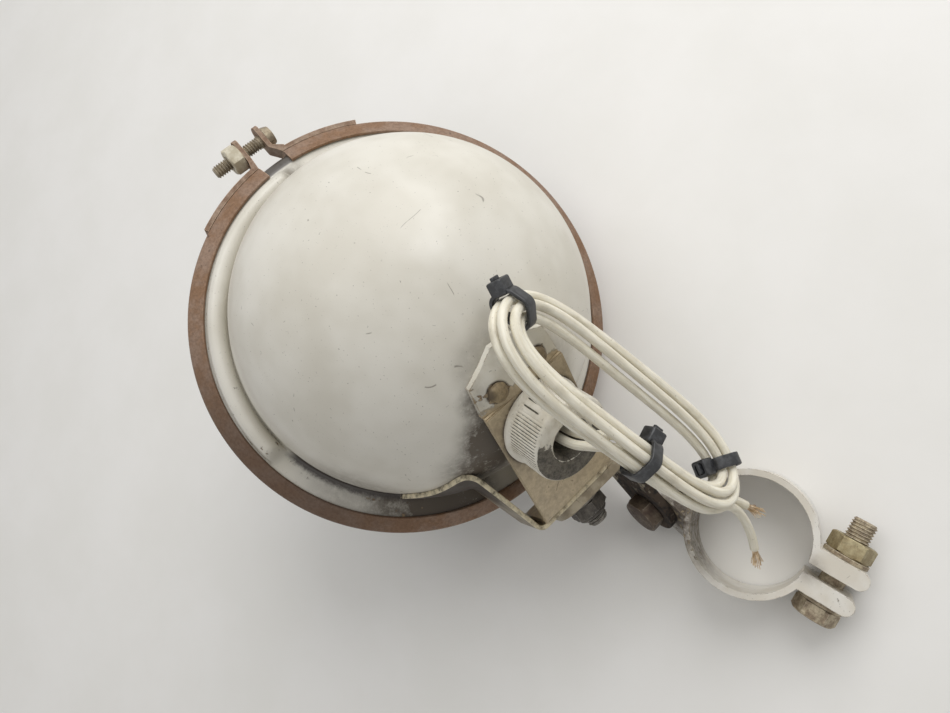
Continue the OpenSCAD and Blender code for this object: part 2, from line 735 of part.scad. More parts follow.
// Wires. Each wire is one route: inside the dome, out of the boot, round the tied loop and off
// in a bare end. The loop is an oval x = a cos t, y = b sin t (1 + flat cos^2 t), and the
// strands lie round its line at 60 degree steps, turning a little as they go.
function unit(v) = v / norm(v);
function turned(p, r) = let (
    a = [p.x, p.y * cos(r.x) - p.z * sin(r.x), p.y * sin(r.x) + p.z * cos(r.x)],
    b = [a.x * cos(r.y) + a.z * sin(r.y), a.y, a.z * cos(r.y) - a.x * sin(r.y)])
    [b.x * cos(r.z) - b.y * sin(r.z), b.x * sin(r.z) + b.y * cos(r.z), b.z];
function placed(p) = loop_centre + turned(p, loop_turn);
function oval(t) = [loop_a * cos(t), loop_b * sin(t) * (1 + loop_flat * pow(cos(t), 2)), 0];
function oval_way(t) = unit([-loop_a * sin(t),
    loop_b * cos(t) * (1 + loop_flat * pow(cos(t), 2) - 2 * loop_flat * pow(sin(t), 2)), 0]);
function oval_out(t) = let (w = oval_way(t)) [w.y, -w.x, 0];
function strand_r(t) = strand_pitch + slack * pow(max(0, sin(t)), 2);
function slot_at(t, wire) = first_slot + slot_step * wire + coil_twist * (t - coil_from) / 360;
function strand(t, wire) = let (turn = slot_at(t, wire))
    oval(t) + strand_r(t) * (cos(turn) * oval_out(t) + [0, 0, sin(turn)]);
function coil_points(wire) = [for (i = [0 : coil_steps])
    placed(strand(coil_from + i * 360 / steps_per_turn, wire))];
loop_up = turned([0, 0, 1], loop_turn);
route_a = concat(inner_a, lead_a, coil_points(0), tail_a);
route_b = concat(inner_b, lead_b, coil_points(1), tail_b);
inner_n = len(inner_a);
lead_n = inner_n + len(lead_a);
coil_n = lead_n + coil_steps;
coil_to = coil_from + coil_steps * 360 / steps_per_turn;

function way(path, i) = unit(path[min(i + 1, len(path) - 1)] - path[max(i - 1, 0)]);
function ring_points(path, i, r, sides) = let (w = way(path, i), a = unit(cross(w, loop_up)),
    b = cross(a, w)) [for (k = [0 : sides - 1]) path[i] + r * (cos(k * 360 / sides) * a
        + sin(k * 360 / sides) * b)];

// A tube along the points from index i0 to i1 of a route
module tube(path, i0, i1, r, sides) {
    n = i1 - i0 + 1;
    points = [for (i = [i0 : i1]) each ring_points(path, i, r, sides)];
    sides_faces = [for (i = [0 : n - 2], k = [0 : sides - 1]) let (k2 = (k + 1) % sides,
        a = i * sides + k, b = i * sides + k2, c = a + sides, d = b + sides) each [[a, c, b], [b, c, d]]];
    start_cap = [for (k = [1 : sides - 2]) [0, k, k + 1]];
    last = (n - 1) * sides;
    end_cap = [for (k = [1 : sides - 2]) [last, last + k + 1, last + k]];
    polyhedron(points, concat(sides_faces, start_cap, end_cap));
}

module both_wires(from, to_a, to_b, sides) {
    tube(route_a, from, to_a, wire_d / 2, sides);
    tube(route_b, from, to_b, wire_d / 2, sides);
}

module internal_leads() {
    color("#e6e0cd") in_head() both_wires(0, inner_n, inner_n, wire_sides);
}

module wire_leads() {
    color("#e6e0cd") in_head() both_wires(inner_n, lead_n, lead_n, wire_sides);
}

module wire_coil() {
    color("#e6e0cd") in_head() both_wires(lead_n, coil_n, coil_n, coil_sides);
}

module wire_tails() {
    color("#e6e0cd") in_head() both_wires(coil_n, len(route_a) - 1, len(route_b) - 1, wire_sides);
}

module bare_end(path) {
    last = len(path) - 1;
    w = way(path, last);
    translate(path[last]) rotate([0, acos(w.z), atan2(w.y, w.x)]) cylinder(r = bare_d / 2, h = bare_l);
}

module bare_ends() {
    color("#b07a4a") in_head() {
        bare_end(route_a);
        bare_end(route_b);
    }
}

// Where the strands cross the loop's section at angle t, with x below the loop and y inside it
function strands_at(t) = [for (wire = [0, 1], turn = [0 : 2]) let (u = t + 360 * turn)
    if (u >= coil_from && u <= coil_to) -strand_r(t) * [sin(slot_at(u, wire)), cos(slot_at(u, wire))]];

module bundle(t, grow) {
    hull() for (p = strands_at(t)) translate(p) circle(r = wire_d / 2 + grow, $fn = 24);
}

// A cable tie at angle t of the loop, with its head at angle head_at round the bundle
module loop_tie(t, head_at) {
    w = oval_way(t);
    side = [cos(head_at), sin(head_at)];
    reach = max([for (p = strands_at(t)) p * side]) + wire_d / 2 + tie_fit;
    color("#26272a") in_head() translate(loop_centre) rotate(loop_turn) translate(oval(t))
        rotate([0, 0, atan2(w.y, w.x)]) rotate([0, 90, 0]) difference() {
            union() {
                translate([0, 0, -tie_w / 2]) linear_extrude(tie_w) bundle(t, tie_fit + tie_t);
                rotate([0, 0, head_at]) translate([reach - 0.6, -tie_head.y / 2, -tie_head.x / 2])
                    cube([tie_head.z + 0.6, tie_head.y, tie_head.x]);
            }
            translate([0, 0, -tie_w]) linear_extrude(2 * tie_w) bundle(t, tie_fit);
        }
}

module loop_tie_left() {
    loop_tie(tie_at[0], 260);
}

module loop_tie_middle() {
    loop_tie(tie_at[1], 120);
}

module loop_tie_right() {
    loop_tie(tie_at[2], 80);
}

// The least gap between the two wires, and between far-apart stretches of each one
function to_line(p, a, b) = let (d = b - a, k = max(0, min(1, (p - a) * d / (d * d)))) norm(p - a - k * d);
function closest(p, path, from) = min([for (i = [from : len(path) - 2]) to_line(p, path[i], path[i + 1])]);
gap_between = min([for (p = route_a) closest(p, route_b, 0)]) - wire_d;
gap_own = min([for (path = [route_a, route_b], i = [0 : len(path) - 9])
    closest(path[i], path, i + 7)]) - wire_d;
echo(least_gap_between_wires = gap_between, least_gap_of_a_wire_to_itself = gap_own);

housing();
rim_gasket();
lamp_reflector();
lamp_lens();
lamp_terminals();
terminal_screws();
lead_lugs();
filament_posts();
lamp_filament();
v_band();
band_lug_nut_side();
band_lug_head_side();
band_screw();
band_nut();
mount_bracket();
bracket_rivets();
brace_strip();
rubber_boot();
flange_bolt();
flange_washer();
flange_lock_nut();
swivel_link();
pivot_bolt();
pivot_washer();
pivot_nut();
tube_clamp();
clamp_bolt();
clamp_washers();
clamp_nut();
internal_leads();
wire_leads();
wire_coil();
wire_tails();
bare_ends();
loop_tie_left();
loop_tie_middle();
loop_tie_right();
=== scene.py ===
import bmesh
import bpy
import numpy as np
from mathutils import Matrix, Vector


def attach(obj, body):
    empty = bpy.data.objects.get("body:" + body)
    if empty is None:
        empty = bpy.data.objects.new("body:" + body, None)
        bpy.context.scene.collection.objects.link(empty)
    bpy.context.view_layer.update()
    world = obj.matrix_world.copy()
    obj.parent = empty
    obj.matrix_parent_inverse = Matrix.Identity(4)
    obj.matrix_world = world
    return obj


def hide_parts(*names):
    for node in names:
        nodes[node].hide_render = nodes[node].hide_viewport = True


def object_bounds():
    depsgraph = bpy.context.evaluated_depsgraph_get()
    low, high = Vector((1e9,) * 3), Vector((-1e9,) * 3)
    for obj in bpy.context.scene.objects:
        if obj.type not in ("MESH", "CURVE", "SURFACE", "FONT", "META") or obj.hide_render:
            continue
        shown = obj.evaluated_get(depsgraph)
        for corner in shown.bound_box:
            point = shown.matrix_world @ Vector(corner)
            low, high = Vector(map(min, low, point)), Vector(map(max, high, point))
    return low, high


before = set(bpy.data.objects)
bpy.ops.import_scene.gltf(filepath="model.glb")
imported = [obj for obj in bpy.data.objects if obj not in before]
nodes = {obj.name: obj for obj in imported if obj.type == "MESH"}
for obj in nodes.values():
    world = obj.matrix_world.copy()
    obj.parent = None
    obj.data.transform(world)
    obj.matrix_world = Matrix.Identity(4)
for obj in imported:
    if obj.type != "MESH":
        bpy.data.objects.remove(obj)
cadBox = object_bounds()
scene = bpy.context.scene
scene.view_settings.view_transform = "Standard"
print("frame loaded")

# The light's main sizes and set angles, in mm and degrees
light = {
    "bandRadius": 76.5, "bandWidth": 9, "bandGap": 11, "domeRadius": 62, "domeRise": 10,
    "lugReach": 30.5, "lugOffset": 12.5, "lugTwist": 26, "lugTurn": -10.5, "lugFace": 1.85, "fold": 30,
    "flangeX": 82, "pivotOut": 26, "pivotSide": 22, "flangeBolt": (2, 15.5), "linkThickness": 3.2,
    "plateTilt": 37, "plateThickness": 1.8, "bootAlong": 15, "rivetAlong": -5, "rivetSide": 7.6,
    "ringRadius": 21.25, "clampFace": 7.6, "washerClear": 0.7, "washerThickness": 1.4,
    "braceThickness": 1.6, "seat": 0.05, "boltWidth": 7.9, "boltFlats": 12.64, "boltPitch": 1.06,
    "headHigh": 5.2, "nutHigh": 5.6, "lockNutHigh": 6.6, "lockNutCollar": 1.8,
}


# Places are 4 by 4 arrays in mm
def turned(axis, degrees):
    first, second = {"x": (1, 2), "y": (2, 0), "z": (0, 1)}[axis]
    angle = np.radians(degrees)
    place = np.eye(4)
    place[first, first] = place[second, second] = np.cos(angle)
    place[first, second] = -np.sin(angle)
    place[second, first] = np.sin(angle)
    return place


def moved(x, y, z):
    place = np.eye(4)
    place[:3, 3] = x, y, z
    return place


def put(points, place):
    return points @ place[:3, :3].T + place[:3, 3]


boltSide, boltHigh = light["flangeBolt"]
inClamp = np.eye(4)
inLug = turned("z", light["lugTurn"]) @ moved(-light["lugReach"], -light["lugOffset"], 0)
inLug = inLug @ turned("x", -light["lugTwist"])
inLink = inLug @ turned("y", light["fold"])
inHead = inLink @ moved(-light["flangeX"] - light["pivotOut"], -boltSide - light["pivotSide"], -boltHigh)


def onFlangeBolt(x):
    return inHead @ moved(x, boltSide, boltHigh) @ turned("y", 90)


def onPlate(along):
    return (inHead @ moved(0, 0, light["domeRise"]) @ turned("y", light["plateTilt"])
            @ moved(along, 0, light["domeRadius"] + light["seat"]))


def onDome(along, side):
    # A spot on the dome, so many mm of arc along the plate and to its side.
    step = 180 / np.pi / light["domeRadius"]
    return (inHead @ moved(0, 0, light["domeRise"]) @ turned("y", light["plateTilt"] + along * step)
            @ turned("x", -side * step) @ moved(0, 0, light["domeRadius"] + light["seat"]))


def headSpot(place, point=(0, 0, 0)):
    # A point of some place, in mm of the lamp head.
    return put(np.array(point, dtype=float), np.linalg.inv(inHead) @ place).tolist()


# Mesh helpers
def smoothPiece(name, mesh, sharp):
    mesh.polygons.foreach_set("use_smooth", [True] * len(mesh.polygons))
    mesh.set_sharp_from_angle(angle=np.radians(sharp))
    piece = bpy.data.objects.new(name, mesh)
    scene.collection.objects.link(piece)
    return piece


def addRounding(piece, width, angle=35, harden=True):
    # Edges that turn more than the angle are rounded off, over a width in mm.
    rounding = piece.modifiers.new("rounding", "BEVEL")
    rounding.width = width / 1000
    rounding.segments = 2
    rounding.limit_method = "ANGLE"
    rounding.angle_limit = np.radians(angle)
    rounding.harden_normals = harden
    return piece


def buildMesh(name, grids, place=np.eye(4), around=True, along=False, caps="both", sharp=35,
              attributes=None):
    # One mesh of several grids: grid[i, j] is the point at step i along and j around, in mm of the place.
    points, quads, ends, start = [], [], [], 0
    for grid in grids:
        rows, columns = grid.shape[:2]
        i = np.arange(rows if along else rows - 1)[:, None]
        j = np.arange(columns if around else columns - 1)[None, :]
        nextI = (i + 1) % rows
        nextJ = (j + 1) % columns
        corners = [i * columns + j, i * columns + nextJ, nextI * columns + nextJ, nextI * columns + j]
        faces = start + np.stack(np.broadcast_arrays(*corners), -1).reshape(-1, 4)
        ring = np.arange(columns) + start
        closing = []
        if not along and caps in ("both", "start"):
            closing.append(ring[::-1])
        if not along and caps in ("both", "end"):
            closing.append(ring + (rows - 1) * columns)
        # the volume under all the triangles is negative where the faces look inwards
        flat = grid.reshape(-1, 3)
        fans = [np.stack([np.full(len(end) - 2, end[0]), end[1:-1], end[2:]], -1) for end in closing]
        triangles = np.vstack([faces[:, [0, 1, 2]], faces[:, [0, 2, 3]]] + fans)
        a, b, c = (flat[triangles[:, k] - start] - flat.mean(0) for k in range(3))
        inward = np.einsum("ij,ij->", a, np.cross(b, c)) < 0
        quads += (faces[:, ::-1] if inward else faces).tolist()
        ends += [(end[::-1] if inward else end).tolist() for end in closing]
        points.append(put(flat, place) / 1000)
        start += len(flat)
    mesh = bpy.data.meshes.new(name)
    mesh.from_pydata(np.vstack(points).tolist(), [], quads + ends)
    for key, values in (attributes or {}).items():
        values = np.asarray(values, dtype=np.float32)
        kind, field = ("FLOAT_VECTOR", "vector") if values.ndim == 2 else ("FLOAT", "value")
        mesh.attributes.new(key, kind, "POINT").data.foreach_set(field, values.ravel())
    return smoothPiece(name, mesh, sharp)


def workedCopy(name, node, bevel):
    # A copy of a CAD node with its corners merged, its faces within 0.6 degrees joined up and its sharp
    # edges rounded.
    source = nodes[node].data
    points = np.empty(len(source.vertices) * 3)
    source.vertices.foreach_get("co", points)
    corners = np.empty(len(source.loops), dtype=int)
    source.loops.foreach_get("vertex_index", corners)
    mesh = bpy.data.meshes.new(name)
    mesh.from_pydata(points.reshape(-1, 3).tolist(), [], corners.reshape(-1, 3).tolist())
    work = bmesh.new()
    work.from_mesh(mesh)
    bmesh.ops.remove_doubles(work, verts=work.verts, dist=2e-6)
    bmesh.ops.dissolve_limit(work, angle_limit=np.radians(0.6), verts=work.verts, edges=work.edges)
    work.to_mesh(mesh)
    work.free()
    return addRounding(smoothPiece(name, mesh, 30), bevel, 30)


def finishPiece(piece, body, slot, material, *replaced):
    piece.data.materials.clear()
    piece.data.materials.append(material)
    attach(piece, body)
    if replaced:
        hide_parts(*replaced)
    return piece


# Material helpers
softly = {"interpolation_type": "SMOOTHSTEP"}


def linear(colour):
    parts = [int(colour[i:i + 2], 16) / 255 for i in (1, 3, 5)]
    return [c / 12.92 if c <= 0.04045 else ((c + 0.055) / 1.055) ** 2.4 for c in parts] + [1]


def addNode(tree, kind, inputs=(), out=0, **settings):
    node = tree.nodes.new("ShaderNode" + kind)
    for name, value in settings.items():
        setattr(node, name, value)
    pairs = inputs.items() if isinstance(inputs, dict) else enumerate(inputs)
    for key, value in pairs:
        socket = next(s for i, s in enumerate(node.inputs) if s.enabled and key in (i, s.name))
        if isinstance(value, bpy.types.NodeSocket):
            tree.links.new(value, socket)
        else:
            socket.default_value = linear(value) if isinstance(value, str) else value
    return next(s for i, s in enumerate(node.outputs) if s.enabled and out in (i, s.name))


def newMaterial(name, place=np.eye(4)):
    # An empty material and its Object coordinates, turned into mm of the place.
    material = bpy.data.materials.new(name)
    material.use_nodes = True
    tree = material.node_tree
    tree.nodes.clear()
    back = np.linalg.inv(place)
    angles = Matrix(back[:3, :3].tolist()).to_euler("XYZ")
    here = addNode(tree, "TexCoord", out="Object")
    spot = addNode(tree, "Mapping", {"Vector": here, "Location": back[:3, 3].tolist(), "Rotation": angles,
                                     "Scale": (1000, 1000, 1000)})
    return material, tree, spot


def closeMaterial(tree, height=None, **sockets):
    # Ends a material: sockets are the shader's own, with _ for a space, and height is a relief in mm.
    inputs = {name.replace("_", " "): value for name, value in sockets.items()}
    if height is not None:
        inputs["Normal"] = addNode(tree, "Bump", {"Height": height, "Distance": 0.001, "Strength": 1.0})
    shader = addNode(tree, "BsdfPrincipled", inputs)
    tree.links.new(shader, tree.nodes.new("ShaderNodeOutputMaterial").inputs["Surface"])


def patches(tree, spot, size, low, high, detail=4.0, rough=0.6):
    # Soft patches: noise of that size in mm, cut between two levels.
    noise = addNode(tree, "TexNoise", {"Vector": spot, "Scale": 1 / size, "Detail": detail,
                                       "Roughness": rough})
    return addNode(tree, "MapRange", [noise, low, high, 0.0, 1.0], **softly)


def gathered(tree, spot, centres):
    # How much dirt, wear and painted shade gathers near some points, each with an inner and an outer radius
    # and a strength.
    total = 0.0
    for centre, inner, outer, strength in centres:
        gap = addNode(tree, "VectorMath", [spot, centre], "Value", operation="DISTANCE")
        reach = addNode(tree, "MapRange", [gap, inner, outer, strength, 0.0], **softly)
        total = addNode(tree, "Math", [total, reach], operation="ADD")
    return total


def wornEdges(tree, radius, low=0.01, high=0.12):
    # 1 where an edge is: there the normal rounded over the radius in mm leans away from the plain one.
    rounded = addNode(tree, "Bevel", {"Radius": radius / 1000}, samples=4)
    plain = addNode(tree, "NewGeometry", out="Normal")
    along = addNode(tree, "VectorMath", [rounded, plain], "Value", operation="DOT_PRODUCT")
    return addNode(tree, "MapRange", [along, 1 - low, 1 - high, 0.0, 1.0])


def layered(tree, colour, layers):
    # A colour with others laid over it in turn: each layer says where it lies, how strongly, and its colour.
    for where, strength, over in layers:
        if strength != 1:
            where = addNode(tree, "Math", [where, strength], operation="MULTIPLY")
        colour = addNode(tree, "Mix", {"Factor": where, "A": colour, "B": over}, "Result", data_type="RGBA")
    return colour


def weighed(tree, parts):
    # The sum of some patterns, each one times its own weight.
    total = 0.0
    for pattern, weight in parts:
        total = addNode(tree, "Math", [pattern, weight, total], operation="MULTIPLY_ADD")
    return total


def darkenedRing(tree, spot, ring):
    # A darker ring round the axis: it rises from the first radius to the second, and its edge is ragged.
    # One with a turn lies between those angles, in degrees from the X axis, and fades out over its height.
    x, y, z = (addNode(tree, "SeparateXYZ", [spot], out=axis) for axis in "XYZ")
    flat = addNode(tree, "VectorMath", [spot, (1.0, 1.0, 0.0)], operation="MULTIPLY")
    radius = addNode(tree, "VectorMath", [flat], "Value", operation="LENGTH")
    grit = addNode(tree, "TexNoise", {"Vector": spot, "Scale": 1 / 1.3, "Detail": 6.0, "Roughness": 0.8})
    ragged = addNode(tree, "Math", [grit, ring["ragged"], radius], operation="MULTIPLY_ADD")
    amount = addNode(tree, "MapRange", [ragged, *ring["radius"], 0.0, ring["strength"]], **softly)
    if "turn" in ring:
        radians = addNode(tree, "Math", [y, x], operation="ARCTAN2")
        angle = addNode(tree, "Math", [radians], operation="DEGREES")
        first, full, fading, last = ring["turn"]
        low, high = ring["height"]
        for pattern, none, whole in ((angle, first, full), (angle, last, fading), (z, high, low)):
            window = addNode(tree, "MapRange", [pattern, none, whole, 0.0, 1.0], **softly)
            amount = addNode(tree, "Math", [amount, window], operation="MULTIPLY")
    return amount


def sprayedEnamel(name, place, look):
    # Enamel sprayed over primed steel: a soft gloss with orange peel, yellowed clouds, grime and painted
    # shade in the corners and under other parts, hairline scratches and chips down to the tan primer.
    material, tree, spot = newMaterial(name, place)
    cloud = patches(tree, spot, look["cloud"], 0.35, 0.65, 3.0)
    fleck = patches(tree, spot, 0.7, 0.69, 0.74, 2.0)   # dust pits are finer, this is as fine as shows
    colour = layered(tree, look["paint"], [(cloud, 1, look["aged"]), (fleck, 0.5, look["grimeAndShade"])])
    if "stained" in look:
        # paint gone down to a tan undercoat, with a thin dark outline where it broke away
        mottle = patches(tree, spot, 2.6, 0.25, 0.75, 7.0, 0.72)
        tan = layered(tree, look["primer"], [(mottle, 1, look["tan"])])
        ragged = addNode(tree, "TexNoise", {"Vector": spot, "Scale": 1 / 4.5, "Detail": 6.0,
                                            "Roughness": 0.62})
        gone = weighed(tree, [(gathered(tree, spot, look["stained"]), 1.0), (ragged, 0.9)])
        outline = addNode(tree, "MapRange", [gone, 0.8, 0.86, 0.0, 0.7])
        bare = addNode(tree, "MapRange", [gone, 0.83, 0.9, 0.0, 1.0])
        colour = layered(tree, colour, [(outline, 1, look["grimeAndShade"]), (bare, 1, tan)])
    # soft noise breaks up the gathered spots, which lay grime and painted shade in one dark colour
    breakup = patches(tree, spot, 3.0, 0.1, 0.62, 8.0, 0.78)
    dirtAndShade = addNode(tree, "Math", [gathered(tree, spot, look["dirtyAndShaded"]), breakup], operation="MULTIPLY",
                   use_clamp=True)
    # hairline scratches follow a line of even noise, where a second noise lets them
    level = addNode(tree, "TexNoise", {"Vector": spot, "Scale": 1 / 38, "Detail": 1.5})
    signed = addNode(tree, "Math", [level, 0.5], operation="SUBTRACT")
    crack = addNode(tree, "Math", [signed], operation="ABSOLUTE")
    line = addNode(tree, "MapRange", [crack, 0.0006, 0.0018, 1.0, 0.0])
    scratch = addNode(tree, "Math", [line, patches(tree, spot, 8.0, 0.6, 0.64, 2.0)], operation="MULTIPLY")
    # chips open where flakes, edges and handling add up, and each has a dark rim
    flake = addNode(tree, "TexNoise", {"Vector": spot, "Scale": 1 / look["chip"], "Detail": 6.0,
                                       "Roughness": 0.62})
    wear = weighed(tree, [(flake, 1.0), (wornEdges(tree, look["edge"]), look["edgeWear"]),
                          (gathered(tree, spot, look["chipped"]), 1.0)])
    chip = addNode(tree, "MapRange", [wear, 0.74, 0.76, 0.0, 1.0])
    rim = addNode(tree, "MapRange", [wear, 0.70, 0.74, 0.0, 0.55])
    rust = layered(tree, look["primer"], [(patches(tree, spot, 2.2, 0.42, 0.62, 5.0), 1, look["bare"])])
    colour = layered(tree, colour, [(dirtAndShade, 1, look["grimeAndShade"]), (scratch, 0.6, look["grimeAndShade"]),
                                    (rim, 1, look["grimeAndShade"]), (chip, 1, rust)])
    # darker rings round the axis; the housing's first one is a painted shadow
    for ring in look.get("rings", []):
        colour = layered(tree, colour, [(darkenedRing(tree, spot, ring), 1, look["ringDarkColour"])])
    if "rubbed" in look:   # edges worn bright and partly a painted highlight, where the piece says so itself
        rubbed = addNode(tree, "Attribute", out="Fac", attribute_name="rubbed")
        uneven = patches(tree, spot, 2.4, 0.28, 0.6, 6.0, 0.7)
        bright = addNode(tree, "Math", [rubbed, uneven], operation="MULTIPLY")
        colour = layered(tree, colour, [(bright, 1, look["rubbed"])])
    peel = addNode(tree, "TexNoise", {"Vector": spot, "Scale": 1 / 1.6, "Detail": 2.0})
    height = weighed(tree, [(peel, 0.02), (chip, -0.07), (scratch, -0.03)])
    rough = weighed(tree, [(cloud, 0.12), (dirtAndShade, 0.3), (chip, 0.3)])
    rough = addNode(tree, "Math", [rough, look["rough"]], operation="ADD", use_clamp=True)
    closeMaterial(tree, height, Base_Color=colour, Roughness=rough, Coat_Weight=look["coat"],
                  Coat_Roughness=0.12)
    return material


def agedSteel(name, place, look):
    # Old plated or rusted steel: patches of rust and dust over dull metal, pits, and edges rubbed brighter.
    material, tree, spot = newMaterial(name, place)
    dust = patches(tree, spot, look["patch"], 0.38, 0.62, 6.0, 0.65)
    mottle = patches(tree, spot, 1.1, 0.3, 0.75, 5.0, 0.75)
    pit = patches(tree, spot, look["patch"] * 0.22, 0.62, 0.72, 5.0, 0.7)
    uneven = patches(tree, spot, 2.5, 0.3, 0.6)
    edge = addNode(tree, "Math", [wornEdges(tree, look["edge"]), uneven], operation="MULTIPLY")
    # darker spots where a look lists them: stains and darker rust, and painted shade
    stainAndShade = gathered(tree, spot, look.get("stained", []))
    colour = layered(tree, look["base"], [
        (dust, 1, look["dust"]), (mottle, 0.45, look["pit"]), (pit, 0.8, look["pit"]),
        (edge, 1, look["rubbed"]), (stainAndShade, 1, look["pit"])])
    grain = addNode(tree, "TexNoise", {"Vector": spot, "Scale": 1 / 0.5, "Detail": 3.0})
    height = weighed(tree, [(pit, -0.04), (mottle, 0.03), (grain, 0.03)])
    rough = addNode(tree, "MapRange", [mottle, 0.0, 1.0, look["rough"], min(1.0, look["rough"] + 0.25)])
    closeMaterial(tree, height, Base_Color=colour, Metallic=look["metallic"], Roughness=rough)
    return material


def cloudedFinish(name, look):
    # A finish that drifts between a clean and a dull colour, and between two roughnesses, in soft clouds of
    # dust, haze or tarnish, with a fine relief where it has one: its size, its detail and its depth in mm.
    material, tree, spot = newMaterial(name, inHead)
    cloud = patches(tree, spot, *look["cloud"])
    height = None
    if "relief" in look:
        size, detail, deep = look["relief"]
        relief = addNode(tree, "TexNoise", {"Vector": spot, "Scale": 1 / size, "Detail": detail})
        height = weighed(tree, [(relief, deep)])
    colour = layered(tree, look["clean"], [(cloud, 1, look["dull"])])
    rough = addNode(tree, "MapRange", [cloud, 0.0, 1.0, *look["rough"]])
    closeMaterial(tree, height, Base_Color=colour, Roughness=rough, **look["shader"])
    return material


print("helpers ready")

# Camera at the photograph's place, and soft studio light from above the picture
camera = {"at": (11.01, 27.9, 267.23), "right": (0.7716, 0.4641, -0.435), "down": (0.4458, -0.8824, -0.1505),
          "lens": 27.06, "nearest": 5}
studio = {"middle": (-70, 0, 25), "away": 900, "keyUp": 0.85, "keyBack": 0.6, "keySize": 750,
          "keyPower": 5.2, "sideWay": (-0.9, 0.1, 0.2), "sideSize": 600, "sidePower": 1.5,
          "glow": 0.42, "backdrop": 0.95, "floorHalf": 1500, "floorGap": 0.4}


def standing(axes, at):
    # The matrix of a thing with these axes, at a point in mm.
    sides = np.column_stack([*axes, np.array(at) / 1000])
    return Matrix(np.vstack([sides, [0, 0, 0, 1]]).tolist())


def addCamera():
    # Sets the camera up and returns its own up and back ways.
    right, down = np.array(camera["right"]), np.array(camera["down"])
    forward = np.cross(right, down)
    data = bpy.data.cameras.new("photoCamera")
    data.lens = camera["lens"]
    data.clip_start = camera["nearest"] / 1000
    view = bpy.data.objects.new("photoCamera", data)
    scene.collection.objects.link(view)
    view.matrix_world = standing([right, -down, -forward], camera["at"])
    scene.camera = view
    return -down, -forward


def addLamp(name, way, size, power):
    data = bpy.data.lights.new(name, "AREA")
    data.shape = "DISK"
    data.size = size / 1000
    data.energy = power
    lamp = bpy.data.objects.new(name, data)
    scene.collection.objects.link(lamp)
    way = np.array(way) / np.linalg.norm(way)
    side = np.cross((0.3, 0.9, 0.2), way)
    side /= np.linalg.norm(side)
    lamp.matrix_world = standing([side, np.cross(way, side), way], studio["middle"] + way * studio["away"])


def addStudio():
    up, back = addCamera()
    keyWay = studio["keyUp"] * up + studio["keyBack"] * back
    addLamp("keyLamp", keyWay, studio["keySize"], studio["keyPower"])
    addLamp("sideLamp", back + studio["sideWay"], studio["sideSize"], studio["sidePower"])
    world = bpy.data.worlds.new("studio")
    world.use_nodes = True
    tree = world.node_tree
    tree.nodes.clear()
    rays = [(addNode(tree, "LightPath", out="Is " + ray + " Ray"), 1.0)
            for ray in ("Camera", "Glossy", "Transmission")]
    seen = addNode(tree, "Math", [weighed(tree, rays), 0.0], operation="ADD", use_clamp=True)
    level = addNode(tree, "MapRange", [seen, 0.0, 1.0, studio["glow"], studio["backdrop"]])
    glow = addNode(tree, "Background", {"Color": (1.0, 1.0, 1.0, 1.0), "Strength": level})
    tree.links.new(glow, tree.nodes.new("ShaderNodeOutputWorld").inputs["Surface"])
    scene.world = world
    # the floor is a plain square just under the light
    half = studio["floorHalf"]
    square = np.full((2, 2, 3), cadBox[0].z * 1000 - studio["floorGap"])
    square[..., :2] = [[[-half, -half], [half, -half]], [[-half, half], [half, half]]]
    floor = buildMesh("floor", [square], around=False, caps="none")
    material, tree, spot = newMaterial("pale studio paper")
    shade = patches(tree, spot, 60, 0.3, 0.7)
    closeMaterial(tree, Base_Color=layered(tree, "#eceae6", [(shade, 1, "#e8e6e1")]), Roughness=0.9)
    floor.data.materials.append(material)


addStudio()
print("camera and studio ready")

# The two wires: the routes repeat the CAD's points, in mm of the lamp head
wires = {
    "diameter": 2.8, "sides": 20, "innerSides": 12, "finer": 4, "apart": 300, "stiffness": "limp",
    "loopCentre": (60, 15.2, 71.4), "loopTurn": (-30.6, 13.7, 17.6), "loopA": 44, "loopB": 12.8,
    "loopFlat": 0.5, "coilFrom": -84, "coilSteps": 52, "stepsPerTurn": 24, "coilTwist": -120,
    "firstSlot": 240, "slotStep": -60, "pitch": 3.4, "slack": 0.3,
    "leads": (
        [[50, -1.8, 51.4], [52.8, -1.8, 55.1], [55.4, -1.8, 58.6], [57.6, -1.6, 61.8], [59.9, -0.8, 65.2],
         [62.3, 1.3, 69.5], [65, 3.9, 72.4]],
        [[50, 1.8, 51.4], [52.8, 1.8, 55.1], [55.4, 1.8, 58.6], [57.5, 2.1, 62], [59.5, 3.1, 65.8],
         [61.5, 5.1, 70.8], [64, 7.8, 74.3]]),
    "tails": (
        [[105.2, 22.9, 62.8], [108.6, 25.4, 60.4], [112.6, 26.8, 58], [116.6, 27.4, 55.9],
         [120.4, 27.4, 54], [124.2, 26.8, 52.4], [127.6, 25.8, 51]],
        [[102.9, 22.8, 60.4], [105.8, 26.2, 58.2], [109.4, 29, 57], [113.4, 31, 55.8]]),
    "inner": [[5.6, 16.2, 51.3], [10.6, 16.2, 51.3], [15.4, 15.2, 50.9], [20.4, 12.9, 49.4],
              [25.4, 9.8, 47], [30.6, 6.6, 44.4], [35.8, 4, 42.5], [40.6, 2.6, 42], [44, 2, 43.9],
              [46.8, 1.8, 47.2], [50, 1.8, 51.4]],
}
turnX, turnY, turnZ = wires["loopTurn"]
inLoop = moved(*wires["loopCentre"]) @ turned("z", turnZ) @ turned("y", turnY) @ turned("x", turnX)
loopUp = inLoop[:3, 2]
coilEnd = wires["coilFrom"] + wires["coilSteps"] * 360 / wires["stepsPerTurn"]


